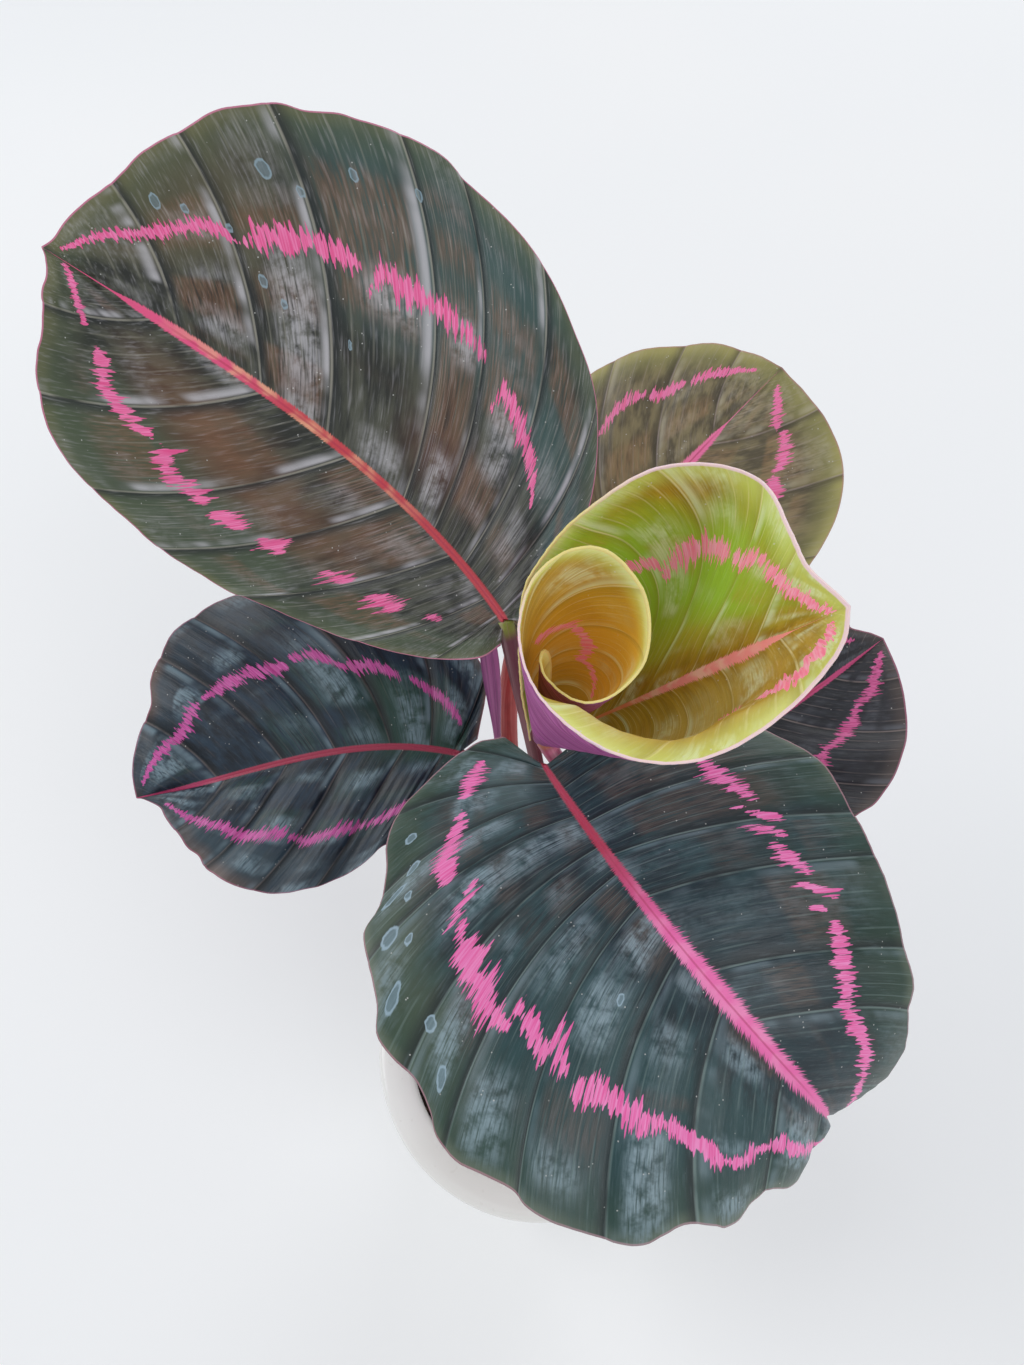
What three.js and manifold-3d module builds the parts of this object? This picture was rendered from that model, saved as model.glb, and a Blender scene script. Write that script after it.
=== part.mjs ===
// A potted calathea dottie: a white glazed pot full of soil, five open patterned leaves on slender stalks,
// one young leaf still half rolled up, and one spear that hasn't opened. Millimetres, +Z up.
// The origin is the middle of the pot's foot. The front leaf arches towards -Y, and the largest leaf
// rises to the left and back, towards -X and +Y.

import * as THREE from 'three';
import { mergeVertices } from 'three/addons/utils/BufferGeometryUtils.js';
import Module from 'manifold-3d';

const wasm = await Module();
wasm.setup();

// The pot
const POT_HEIGHT = 110;
const RIM_RADIUS = 60;
const FOOT_RADIUS = 42;
const POT_WALL = 4.5;
const POT_FLOOR = 8;
const FOOT_ROUNDING = 2.5;
const RIM_WIDTH = 9.5;
const RIM_UNDERSIDE = 97.5;
const RIM_SLOPE = 4;
const POT_SIDES = 48;

// The soil
const SOIL_LEVEL = 96;
const SOIL_MOUND = 3;
const SOIL_RIPPLE = 0.9;
const SOIL_SIDES = 32;

// The clearance between two pieces that touch
const GAP = 0.3;

// The blades
const BLADE_THICKNESS = 0.7;
const RIB_DEPTH = 1.6;
const RIB_HALF_WIDTH = 1.6;
const VEIN_STATIONS = 30;
const VEIN_STEPS = 5;
const VEIN_CROWDING = 2.0;
const VEIN_BOW = 0.13;

// The stalks
const STALK_SIDES = 9;
const STALK_STEPS = 12;
const STALK_ROOT_DEPTH = 20;

// The rolled leaf stands round an axis that leans a little towards the front
const ROLL_FOOT = new THREE.Vector3(-1, 48, 262);
const ROLL_HEAD = new THREE.Vector3(4.6, 28.1, 340);
const ROLL_THICKNESS = 0.6;
const ROLL_FOOT_RADIUS = 4.0;
const ROLL_FOOT_STEP = 1.15;
const ROLL_OUTER_TURN = 205;
const ROLL_STATIONS = 18;

const degrees = THREE.MathUtils.degToRad;
const point = (list) => new THREE.Vector3(...list);

// The five open leaves. Each midrib is a curve with four control points, from the stalk to the tip.
// The outlines are laid out flat: distance from the midrib, then distance along it, in millimetres.
// Left and right are seen from the stalk, looking along the leaf at its upper face. Roll turns the
// whole blade about its midrib, fold lifts each half from the midrib, and droop bends it down per mm.
const OPEN_LEAVES = {
  a: {
    colour: 0x3d4238, length: 162, roll: 32,
    midrib: [[-12, 71, 284], [-41, 116, 294], [-91, 139, 313], [-136, 157, 335]],
    fold: { left: [-6, -6], right: [2, 2] }, droop: { left: 0.005, right: 0.003 },
    left: [[5, -5], [10.5, -4.9], [16.5, -1.1], [22.5, 4.2], [26.5, 8.4], [31.3, 14.9], [34.4, 20.4],
      [37.8, 26.9], [41.5, 32.9], [45.6, 41.2], [48.3, 48.8], [50.1, 57.1], [52.9, 67], [54.6, 70.9],
      [56.9, 78.4], [57.9, 86.2], [57.5, 93.4], [56.3, 100.8], [55.1, 108.1], [54.9, 116.7], [54, 125.2],
      [50.9, 132.3], [46.3, 137.7], [41.7, 142.6], [36.7, 147.1], [31.8, 150.7], [25.8, 152.4],
      [20.1, 152.7], [14.6, 154.7], [10.1, 157], [5.5, 157.8], [1.9, 160], [0, 162]],
    right: [[5, -5], [10.7, -2.7], [18.9, 0.6], [27.7, 4.6], [35.2, 9.1], [42.4, 14.2], [49.2, 20],
      [55.4, 26.3], [60.7, 33.4], [65.2, 40.6], [70, 48.7], [73.4, 56.6], [75.9, 65.2], [77.8, 73.9],
      [79.4, 82.3], [81.2, 89.6], [79.9, 96.8], [77.4, 102.8], [74.7, 109.5], [73.2, 116.2],
      [69.5, 122.9], [66.6, 129.6], [60.7, 134.7], [54.6, 140.2], [47.3, 144.5], [41.2, 148.7],
      [34.8, 151.6], [28.3, 152.6], [21.5, 154.5], [15.5, 157.2], [9.6, 159.3], [3.6, 160.3], [0, 162]],
    waves: 6, waveHeight: 1.6,
  },
  b: {
    colour: 0x20303a, length: 109, roll: 12,
    midrib: [[-27, 65, 219], [-63, 74, 220], [-99, 60, 209], [-133, 57, 203]],
    fold: { left: [0, 0], right: [12, 12] }, droop: { left: 0.004, right: 0.004 },
    left: [[6, -4], [10.3, -1.7], [16.4, 1.7], [22.5, 5.8], [27, 10.3], [29.7, 16.8], [31.8, 23.7],
      [34.8, 28.3], [37.2, 33.2], [39.4, 40], [40.5, 46.1], [41.5, 51.9], [41.5, 56.7], [41.5, 61.8],
      [40.9, 66.1], [40, 70.2], [37.9, 74.9], [35.7, 78.5], [33, 81.9], [30.3, 84.9], [27.1, 88.6],
      [23.1, 90], [19.9, 92.8], [15.7, 94.6], [12.3, 96.8], [8, 99.2], [4.5, 101], [0.9, 106.3],
      [0, 109]],
    right: [[6, -5], [10.8, -4.9], [17.7, -4.6], [24.4, -3.3], [29.9, -0.3], [35.2, 3.9], [40, 8.8],
      [44.2, 14.5], [47.8, 20.9], [51, 27.7], [54.1, 34.6], [57, 41.8], [59.3, 48.9], [55.8, 57.5],
      [59.9, 62.3], [60.7, 68.8], [59.8, 74.8], [57.1, 79.9], [54.4, 84.3], [51.8, 89.3], [48.2, 93.9],
      [42.9, 97.5], [37.5, 99.2], [30.1, 99.1], [24.8, 102.4], [19.3, 105.4], [11.8, 108.4], [4.9, 109.3],
      [0, 109]],
    waves: 5, waveHeight: 1.4,
  },
  c: {
    colour: 0x2a3d3c, length: 149, roll: -4,
    midrib: [[-1, 42, 255], [37, -24, 258], [77, -48, 230], [79, -37, 191]],
    fold: { left: [5, 14], right: [5, 14] }, droop: { left: 0.005, right: 0.005 },
    left: [[7, -1], [10.4, -0.8], [15.4, -0.6], [21, -0.1], [26.3, 0.6], [30.8, 1.8], [35.2, 3.3],
      [39.5, 5.2], [43.4, 7.3], [46.9, 9.7], [50.1, 12.2], [53, 15], [55.6, 18.1], [57.8, 21.7],
      [59.7, 25.7], [61.4, 30.3], [62.7, 35.1], [63.7, 39.9], [64.3, 44.5], [64.7, 49.1], [64.7, 53.7],
      [64.5, 58.3], [62.3, 67], [62, 67.4], [60.4, 70.9], [58.3, 74.8], [56.6, 78.9], [55.3, 83.9],
      [54.7, 88], [53.3, 93.1], [51.7, 97.5], [49.3, 101.2], [46.1, 104.4], [43.2, 107.8], [40.8, 112.2],
      [38.6, 116], [35, 120.3], [32.8, 125.6], [30.3, 131.5], [27.8, 135.8], [23.6, 137.1], [20.4, 139.8],
      [17.1, 142], [13.9, 143.9], [10.9, 145.6], [7.7, 146.8], [4.6, 147.8], [1.9, 148.5], [0, 149]],
    right: [[4, -9], [5, -12.8], [8.1, -13.7], [11.6, -15.3], [14.8, -16], [18.9, -16.3], [23.6, -15.4],
      [28.4, -13.8], [33, -11.9], [38, -10], [43, -7], [47.7, -2.5], [50.6, 2.2], [56, 8], [59, 10],
      [63.8, 12.5], [66, 18], [67.1, 23.2], [69.4, 28.9], [73.2, 33.4], [73.2, 39], [71.7, 45.1],
      [73, 51.2], [75.1, 55.5], [74.5, 61], [71.4, 65.6], [68.3, 71.1], [68.4, 75], [66.8, 79.8],
      [64.5, 84], [62, 88.1], [59, 92.5], [55.1, 95.7], [49.8, 97.2], [45.1, 99.4], [40.8, 105.7],
      [39.2, 109.8], [35.2, 114.2], [31.7, 115.7], [27.7, 117.6], [24.5, 119], [21, 127.8], [16.7, 133.9],
      [14.3, 137.5], [11, 141], [7.8, 143.8], [4.6, 146], [1.9, 147.8], [0, 149]],
    waves: 6, waveHeight: 1.5,
  },
  d: {
    colour: 0x4a4a34, length: 125, roll: -5,
    midrib: [[-7, 108, 221], [23, 132, 237], [50, 158, 256], [80, 180, 275]],
    fold: { left: [5, 5], right: [5, 5] }, droop: { left: 0.004, right: 0.004 },
    left: [[6, -4], [11.6, -2.3], [19.3, 0.4], [26.1, 4.6], [32, 10.6], [37.4, 17.6], [42, 25.1],
      [45.9, 33.5], [49, 42], [51.2, 50.2], [52.6, 58.5], [53, 66.8], [52.4, 75.3], [50.7, 84.9],
      [47.9, 90.8], [43.5, 96.8], [39, 102], [34, 107.7], [28.6, 113], [23.4, 116.4], [18.2, 118.8],
      [12.9, 121], [8.5, 122.9], [3.3, 124.2], [0, 125]],
    right: [[6, -4], [11.5, -2.6], [19.2, -0.3], [26.1, 3.4], [32.4, 8.6], [38.3, 14.8], [43.2, 21.8],
      [47.5, 29.8], [51, 38], [53.6, 46.2], [55.4, 54.5], [56.1, 62.7], [55.9, 70.9], [53.5, 81.1],
      [52.3, 88], [49.4, 97.6], [44.9, 105.8], [39.9, 111.9], [34.1, 116.4], [27.7, 119.4], [21.8, 121.4],
      [15.9, 122.5], [10.1, 123.7], [5, 124.2], [0, 125]],
    waves: 5, waveHeight: 1.2,
  },
  e: {
    colour: 0x2b2d33, length: 94, roll: 5,
    midrib: [[34, 52, 207], [59, 68, 218], [86, 82, 224], [111, 100, 233]],
    fold: { left: [5, 5], right: [5, 5] }, droop: { left: 0.004, right: 0.004 },
    left: [[6, -4], [11.5, -2.1], [18.9, 1], [24.6, 5.4], [29.2, 11.4], [33, 18], [36, 25], [38.3, 32.4],
      [39.5, 39.5], [39.7, 46.4], [39, 53], [37.2, 59.3], [34.5, 65.3], [31.4, 70.5], [28, 74.9],
      [24, 79], [19.4, 82.9], [11.4, 89], [9.3, 89.2], [4.2, 92.4], [0, 94]],
    right: [[6, -4], [11.8, -2.1], [19.6, 0.9], [25.8, 5.6], [30.9, 12], [35, 19], [38.1, 26.1],
      [40.3, 33.4], [41.4, 41], [40.7, 48.2], [40.9, 54.2], [39.1, 60.1], [37.2, 65.1], [33.9, 70.3],
      [30.7, 74.7], [26.6, 78.7], [21.9, 82.1], [17.3, 85.1], [11.6, 88.5], [4.8, 91.8], [0, 94]],
    waves: 5, waveHeight: 1.2,
  },
};

// The rim of the rolled leaf, turn by turn. Each row is the turn about the axis in degrees, the distance
// from the axis at the height of ROLL_HEAD, and the rim's height. Turn 0 is the tip, over the right wall.
const ROLL_LEFT_RIM = [[205, 14.6, 262], [190, 14.6, 284], [172, 14.8, 302], [152, 15.9, 319],
  [130, 19.2, 331], [107, 23.6, 337], [85, 30.6, 342], [65, 42, 345], [46, 47.5, 346],
  [28, 41.3, 348], [14, 38, 350], [0, 40.5, 352]];
const ROLL_RIGHT_RIM = [[-600, 5.4, 262], [-590, 5.6, 296], [-565, 6.4, 320], [-530, 8.6, 330],
  [-484, 11.7, 331], [-445, 15.2, 334], [-406, 13.6, 338], [-361, 11.7, 342], [-315, 11.7, 347],
  [-272, 12.9, 351], [-226, 12.9, 348], [-190, 12.6, 343], [-157, 13.6, 340], [-124, 16.6, 337],
  [-97, 21.5, 333], [-73, 29.1, 329], [-48, 39, 329], [-25, 43.1, 336], [-9, 42.5, 347],
  [0, 40.5, 352]];

// The stalks: where each one stands in the soil, the way it leaves, and how it comes to its blade.
const STALKS = {
  a: { foot: [3, 12], lean: [5, 24, 150], bend: [8, -19, -46], radius: 2.0, colour: 0x8a4a4c },
  b: { foot: [-12, 6], lean: [-6, 24, 90], bend: [12, -6, -9], radius: 2.0, colour: 0xa03a52 },
  c: { foot: [1, -4], lean: [-5, 14, 110], bend: [-3, -7, -14], radius: 1.9, colour: 0xb04a5e },
  d: { foot: [3, 21], lean: [-6, 34, 66], bend: [-12, -16, -22], radius: 3.1, colour: 0xb8333f },
  e: { foot: [12, 6], lean: [8, 14, 80], bend: [-9, -8, -12], radius: 1.9, colour: 0xa03a52 },
  f: { foot: [13, 20], lean: [20, 36, 120], bend: [0, 0, -14], radius: 2.2, colour: 0xb8486e },
};

// The spear that hasn't opened stands beside the stalks, under the largest leaf. It swells over its
// last part, and its radius there is the stem's and the swelling's together.
const SPEAR = {
  foot: [-11, 19], lean: [0, 26, 86], bend: [8, -24, -34], tip: [-21, 97, 276], colour: 0xb24a8c,
};
const SPEAR_STEM = 1.1;
const SPEAR_SWELLING = 1.8;
const SPEAR_SWELLS_FROM = 0.7;
const SPEAR_POINT = 0.12;

// Mesh from a list of corners and triangles

function meshOf(corners, triangles) {
  const geometry = new THREE.BufferGeometry();
  const places = corners.flatMap((corner) => [corner.x, corner.y, corner.z]);
  geometry.setAttribute('position', new THREE.Float32BufferAttribute(places, 3));
  geometry.setIndex(triangles.flat());
  return geometry;
}

// Solids for cutting and joining

function solidOf(geometry) {
  const bare = geometry.clone();
  bare.deleteAttribute('normal');
  bare.deleteAttribute('uv');
  const merged = mergeVertices(bare, 1e-4);
  const mesh = new wasm.Mesh({
    numProp: 3,
    vertProperties: new Float32Array(merged.attributes.position.array),
    triVerts: new Uint32Array(merged.index.array),
  });
  return new wasm.Manifold(mesh);
}

function geometryOf(solid) {
  const mesh = solid.getMesh();
  const geometry = new THREE.BufferGeometry();
  geometry.setAttribute('position', new THREE.Float32BufferAttribute(mesh.vertProperties, 3));
  geometry.setIndex([...mesh.triVerts]);
  return geometry;
}

function largestPart(solid) {
  const parts = solid.decompose();
  parts.sort((first, second) => second.volume() - first.volume());
  return parts[0];
}

// What is left of a stalk once the blade on it is cut away with a little room on every side
function clearOf(stalk, blade) {
  const cutter = solidOf(bladeGeometry(blade, GAP));
  let rest = stalk.subtract(cutter);
  for (const shift of [-GAP, GAP]) {
    rest = rest.subtract(cutter.translate([shift, 0, 0]));
    rest = rest.subtract(cutter.translate([0, shift, 0]));
    rest = rest.subtract(cutter.translate([0, 0, shift]));
  }
  return largestPart(rest);
}

// A round stalk along a curve, as thick as radiusAt says, closed at both ends
function stalkGeometry(curve, radiusAt, sides = STALK_SIDES, steps = STALK_STEPS) {
  const corners = [];
  const triangles = [];
  let across = new THREE.Vector3(1, 0, 0);
  for (let step = 0; step <= steps; step += 1) {
    const along = step / steps;
    const centre = curve.getPointAt(along);
    const forward = curve.getTangentAt(along);
    across = across.clone().addScaledVector(forward, -across.dot(forward)).normalize();
    const beside = new THREE.Vector3().crossVectors(forward, across);
    for (let side = 0; side < sides; side += 1) {
      const turn = (2 * Math.PI * side) / sides;
      const radius = radiusAt(along);
      corners.push(centre.clone()
        .addScaledVector(across, radius * Math.cos(turn))
        .addScaledVector(beside, radius * Math.sin(turn)));
    }
  }
  for (let step = 0; step < steps; step += 1) {
    for (let side = 0; side < sides; side += 1) {
      const here = step * sides + side;
      const next = step * sides + (side + 1) % sides;
      triangles.push([here, next, next + sides], [here, next + sides, here + sides]);
    }
  }
  const last = steps * sides;
  for (let side = 1; side < sides - 1; side += 1) {
    triangles.push([0, side + 1, side], [last, last + side, last + side + 1]);
  }
  return meshOf(corners, triangles);
}

// The surface of an open leaf: a flat place (x, y) on the blade goes to a point in space. The midrib
// gives the spine, and each half leaves it as an arc in the plane across the midrib.
function openSurface(leaf) {
  const spine = new THREE.CubicBezierCurve3(...leaf.midrib.map(point));
  const spineLength = spine.getLength();
  const chord = point(leaf.midrib[3]).sub(point(leaf.midrib[0]));
  const level = new THREE.Vector3().crossVectors(chord, new THREE.Vector3(0, 0, 1)).normalize();
  return (x, y) => {
    const along = THREE.MathUtils.clamp(y / leaf.length, 0, 1);
    const beyond = y - along * leaf.length;
    const forward = spine.getTangentAt(along);
    const centre = spine.getPointAt(along).addScaledVector(forward, beyond * spineLength / leaf.length);
    const flat = level.clone().addScaledVector(forward, -level.dot(forward)).normalize();
    const flatUp = new THREE.Vector3().crossVectors(flat, forward);
    const turn = degrees(leaf.roll);
    const across = flat.multiplyScalar(Math.cos(turn)).addScaledVector(flatUp, Math.sin(turn));
    const up = new THREE.Vector3().crossVectors(across, forward);
    const half = x < 0 ? 'left' : 'right';
    const lift = degrees(THREE.MathUtils.lerp(leaf.fold[half][0], leaf.fold[half][1], along));
    const droop = leaf.droop[half];
    const distance = Math.abs(x);
    const out = (Math.sin(lift) - Math.sin(lift - droop * distance)) / droop;
    const rise = (Math.cos(lift - droop * distance) - Math.cos(lift)) / droop;
    return centre.addScaledVector(across, Math.sign(x) * out).addScaledVector(up, rise);
  };
}

// The surface of the rolled leaf: x is the turn about the axis, to the right of the tip, and y the height
function rolledSurface() {
  const rim = [...ROLL_LEFT_RIM, ...ROLL_RIGHT_RIM.slice(0, -1).reverse()];
  const spread = new THREE.SplineCurve(rim.map(([turn, radius]) => new THREE.Vector2(turn, radius)));
  const samples = spread.getPoints(rim.length * 12);
  const radiusAt = (turn) => {
    let next = 1;
    while (next < samples.length - 1 && samples[next].x > turn) next += 1;
    const before = samples[next - 1];
    const after = samples[next];
    return THREE.MathUtils.lerp(before.y, after.y, (turn - before.x) / (after.x - before.x));
  };
  return (x, y) => {
    const turn = -x;
    const height = (y - ROLL_FOOT.z) / (ROLL_HEAD.z - ROLL_FOOT.z);
    const footRadius = ROLL_FOOT_RADIUS + (turn - ROLL_OUTER_TURN) / 360 * ROLL_FOOT_STEP;
    const radius = THREE.MathUtils.lerp(footRadius, radiusAt(turn), height);
    const centre = ROLL_FOOT.clone().lerp(ROLL_HEAD, height);
    return new THREE.Vector3(
      centre.x + radius * Math.cos(degrees(turn)),
      centre.y + radius * Math.sin(degrees(turn)),
      y,
    );
  };
}

// A blade is a fan of side veins. Vein number 0 leaves the midrib at the stalk and the last one is the
// tip. Every place on a vein is named by its station, from stalk to tip, and its reach, from the midrib
// at 0 to the margin at 1.
function veinPlace(blade, half, station, reach) {
  const root = new THREE.Vector2(0, blade.base + (blade.tip - blade.base) * station ** VEIN_CROWDING);
  const end = blade.outlines[half].getPoint(station);
  const bow = VEIN_BOW * blade.bowing * Math.min(1, station * 4);
  const middle = new THREE.Vector2(
    (root.x + end.x) / 2 + bow * (end.y - root.y),
    (root.y + end.y) / 2 - bow * (end.x - root.x),
  );
  return root.multiplyScalar((1 - reach) ** 2)
    .addScaledVector(middle, 2 * reach * (1 - reach))
    .addScaledVector(end, reach ** 2);
}

function bladePoint(blade, half, station, reach) {
  const place = veinPlace(blade, half, station, reach);
  const side = half === 'left' ? -1 : 1;
  return blade.surface(side * place.x, place.y);
}

// The upward direction square to the blade at a place on it, from two small steps across it
function bladeUp(blade, half, station, reach) {
  const place = veinPlace(blade, half, station, reach);
  const side = half === 'left' ? -1 : 1;
  const nudge = 0.2;
  const x = side * Math.max(place.x, nudge);
  const alongX = blade.surface(x + nudge, place.y).sub(blade.surface(x - nudge, place.y));
  const alongY = blade.surface(x, place.y + nudge).sub(blade.surface(x, place.y - nudge));
  return alongX.cross(alongY).normalize();
}

// A blade as a closed solid: an upper face, a lower face with the midrib standing out of it, and a thin
// edge all round. Extra makes it fatter all round, for a blade that only cuts the stalk under it.
function bladeGeometry(blade, extra = 0) {
  const columns = [];
  for (let step = blade.steps.left; step >= 1; step -= 1) columns.push(['left', step / blade.steps.left]);
  columns.push(['right', 0]);
  for (let step = 1; step <= blade.steps.right; step += 1) columns.push(['right', step / blade.steps.right]);
  const corners = [];
  const upper = [];
  const lower = [];
  for (let row = 0; row <= blade.stations; row += 1) {
    const station = row / blade.stations;
    upper.push([]);
    lower.push([]);
    for (const [half, evenReach] of columns) {
      if (row === blade.stations && upper[row].length > 0) {
        upper[row].push(upper[row][0]);
        lower[row].push(lower[row][0]);
        continue;
      }
      const end = veinPlace(blade, half, station, 1);
      const reach = blade.ribHalfWidth > 0
        ? ribbedReach(evenReach, blade.steps[half], blade.ribHalfWidth / Math.max(end.x, 1))
        : evenReach;
      const up = bladeUp(blade, half, station, reach);
      const wave = blade.waveHeight * reach ** 2 * Math.sin(2 * Math.PI * blade.waves * station);
      const calm = Math.min(1, 5 * (1 - station));
      const place = bladePoint(blade, half, station, reach).addScaledVector(up, wave * calm);
      const rib = reach === 0 ? blade.ribDepth * (1 - station) : 0;
      upper[row].push(corners.length);
      corners.push(place.clone().addScaledVector(up, extra));
      lower[row].push(corners.length);
      corners.push(place.clone().addScaledVector(up, -blade.thickness - rib - extra));
    }
  }
  const triangles = [];
  const face = (first, second, third) => {
    if (first !== second && second !== third && third !== first) triangles.push([first, second, third]);
  };
  const lastColumn = columns.length - 1;
  for (let row = 0; row < blade.stations; row += 1) {
    for (let column = 0; column < lastColumn; column += 1) {
      face(upper[row][column], upper[row][column + 1], upper[row + 1][column + 1]);
      face(upper[row][column], upper[row + 1][column + 1], upper[row + 1][column]);
      face(lower[row][column], lower[row + 1][column + 1], lower[row][column + 1]);
      face(lower[row][column], lower[row + 1][column], lower[row + 1][column + 1]);
    }
    face(upper[row][lastColumn], lower[row][lastColumn], lower[row + 1][lastColumn]);
    face(upper[row][lastColumn], lower[row + 1][lastColumn], upper[row + 1][lastColumn]);
    face(upper[row][0], lower[row + 1][0], lower[row][0]);
    face(upper[row][0], upper[row + 1][0], lower[row + 1][0]);
  }
  for (let column = 0; column < lastColumn; column += 1) {
    face(upper[0][column], lower[0][column], lower[0][column + 1]);
    face(upper[0][column], lower[0][column + 1], upper[0][column + 1]);
  }
  return meshOf(corners, triangles);
}

// The first step out from the midrib is as wide as the rib, and the others share the rest of the vein
function ribbedReach(evenReach, steps, ribReach) {
  const first = Math.min(ribReach, 1 / steps);
  if (evenReach === 0) return 0;
  return first + (1 - first) * (evenReach * steps - 1) / (steps - 1);
}

function openBlade(leaf) {
  return {
    base: 0,
    tip: leaf.length,
    outlines: {
      left: new THREE.SplineCurve(leaf.left.map((place) => new THREE.Vector2(...place))),
      right: new THREE.SplineCurve(leaf.right.map((place) => new THREE.Vector2(...place))),
    },
    surface: openSurface(leaf),
    bowing: 1,
    stations: VEIN_STATIONS,
    steps: { left: VEIN_STEPS, right: VEIN_STEPS },
    thickness: BLADE_THICKNESS,
    ribDepth: RIB_DEPTH,
    ribHalfWidth: RIB_HALF_WIDTH,
    waves: leaf.waves,
    waveHeight: leaf.waveHeight,
  };
}

function rolledBlade() {
  const outline = (rim) => new THREE.SplineCurve(
    rim.map(([turn, , height]) => new THREE.Vector2(Math.abs(turn), height)),
  );
  return {
    base: ROLL_FOOT.z,
    tip: ROLL_LEFT_RIM[ROLL_LEFT_RIM.length - 1][2],
    outlines: { left: outline(ROLL_LEFT_RIM), right: outline(ROLL_RIGHT_RIM) },
    surface: rolledSurface(),
    bowing: 0,
    stations: ROLL_STATIONS,
    steps: { left: 7, right: 21 },
    thickness: ROLL_THICKNESS,
    ribDepth: 0,
    ribHalfWidth: 0,
    waves: 0,
    waveHeight: 0,
  };
}

// A stalk runs up from its place in the soil and bends over to the foot of its blade
function stalkCurve(stalk, head) {
  const foot = new THREE.Vector3(stalk.foot[0], stalk.foot[1], SOIL_LEVEL - STALK_ROOT_DEPTH);
  return new THREE.CubicBezierCurve3(
    foot,
    foot.clone().add(point(stalk.lean)),
    head.clone().add(point(stalk.bend)),
    head,
  );
}

// A stalk swells a little at its foot and at the joint under the blade
function stalkRadius(radius) {
  return (along) => radius * (1 + 0.25 * (1 - along) ** 4 + 0.18 * along ** 8);
}

function spearRadius(along) {
  const swelling = Math.max(0, (along - SPEAR_SWELLS_FROM) / (1 - SPEAR_SWELLS_FROM));
  return SPEAR_STEM * (1 - along ** 12) + SPEAR_SWELLING * Math.sin(Math.PI * swelling) ** 2 + SPEAR_POINT;
}

// The wall leans outward to a rim that is rolled inward and stands over the soil's edge
function potGeometry() {
  const slope = (RIM_RADIUS - FOOT_RADIUS) / POT_HEIGHT;
  const lip = POT_WALL / 2;
  const profile = [new THREE.Vector2(0, 0), new THREE.Vector2(FOOT_RADIUS - FOOT_ROUNDING, 0)];
  for (let step = 1; step <= 3; step += 1) {
    const turn = degrees(30 * step);
    profile.push(new THREE.Vector2(
      FOOT_RADIUS - FOOT_ROUNDING + FOOT_ROUNDING * Math.sin(turn),
      FOOT_ROUNDING - FOOT_ROUNDING * Math.cos(turn),
    ));
  }
  for (const [middle, from] of [[RIM_RADIUS - lip, 0], [RIM_RADIUS - RIM_WIDTH + lip, 90]]) {
    for (let step = 0; step <= 3; step += 1) {
      const turn = degrees(from + 30 * step);
      profile.push(new THREE.Vector2(middle + lip * Math.cos(turn), POT_HEIGHT - lip + lip * Math.sin(turn)));
    }
  }
  profile.push(new THREE.Vector2(RIM_RADIUS - RIM_WIDTH, RIM_UNDERSIDE + RIM_SLOPE));
  profile.push(new THREE.Vector2(FOOT_RADIUS + slope * RIM_UNDERSIDE - POT_WALL, RIM_UNDERSIDE));
  profile.push(new THREE.Vector2(FOOT_RADIUS + slope * POT_FLOOR - POT_WALL, POT_FLOOR));
  profile.push(new THREE.Vector2(0, POT_FLOOR));
  return new THREE.LatheGeometry(profile, POT_SIDES).rotateX(Math.PI / 2);
}

// The soil fills the pot to a low uneven mound and leaves a plain hole for each stalk
function soilGeometry(holes) {
  const inside = (height) => FOOT_RADIUS + (RIM_RADIUS - FOOT_RADIUS) * height / POT_HEIGHT - POT_WALL;
  const seat = POT_FLOOR + GAP;
  const profile = [
    new THREE.Vector2(0, seat),
    new THREE.Vector2(inside(seat) - 2 * GAP, seat),
    new THREE.Vector2(inside(SOIL_LEVEL) - 2 * GAP, SOIL_LEVEL),
  ];
  for (let step = 1; step <= 4; step += 1) {
    const out = 1 - step / 5;
    profile.push(new THREE.Vector2(
      (inside(SOIL_LEVEL) - 2 * GAP) * out,
      SOIL_LEVEL + SOIL_MOUND * (1 - out ** 2) + SOIL_RIPPLE * Math.sin(9 * out),
    ));
  }
  profile.push(new THREE.Vector2(0, SOIL_LEVEL + SOIL_MOUND));
  let soil = solidOf(new THREE.LatheGeometry(profile, SOIL_SIDES).rotateX(Math.PI / 2));
  for (const hole of holes) {
    const bore = solidOf(hole);
    soil = soil.subtract(bore).subtract(bore.translate([0, 0, -GAP]));
  }
  return geometryOf(soil);
}

// Assembly

const plant = new THREE.Group();

function addPiece(name, geometry, colour, roughness) {
  const material = new THREE.MeshStandardMaterial({ color: colour, roughness, metalness: 0 });
  const mesh = new THREE.Mesh(geometry, material);
  mesh.name = name;
  plant.add(mesh);
}

const holes = [];

// A stalk under an open blade is cut clear of it, and one with no blade given keeps its own end
function addStalk(name, stalk, head, blade = null) {
  const curve = stalkCurve(stalk, head);
  const radiusAt = stalkRadius(stalk.radius);
  const whole = stalkGeometry(curve, radiusAt);
  const fitted = blade ? geometryOf(clearOf(solidOf(whole), blade)) : whole;
  addPiece(name, fitted, stalk.colour, 0.4);
  holes.push(stalkGeometry(curve, (along) => radiusAt(along) + GAP));
}

for (const [letter, leaf] of Object.entries(OPEN_LEAVES)) {
  const blade = openBlade(leaf);
  const seat = bladePoint(blade, 'right', 0, 0)
    .addScaledVector(bladeUp(blade, 'right', 0, 0), -(BLADE_THICKNESS + RIB_DEPTH) / 2);
  addPiece(`blade_${letter}`, bladeGeometry(blade), leaf.colour, 0.35);
  addStalk(`stalk_${letter}`, STALKS[letter], seat, blade);
}

addPiece('blade_f', bladeGeometry(rolledBlade()), 0x8c9436, 0.35);
addStalk('stalk_f', STALKS.f, ROLL_FOOT.clone().add(new THREE.Vector3(0, 0, -GAP)));

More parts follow.
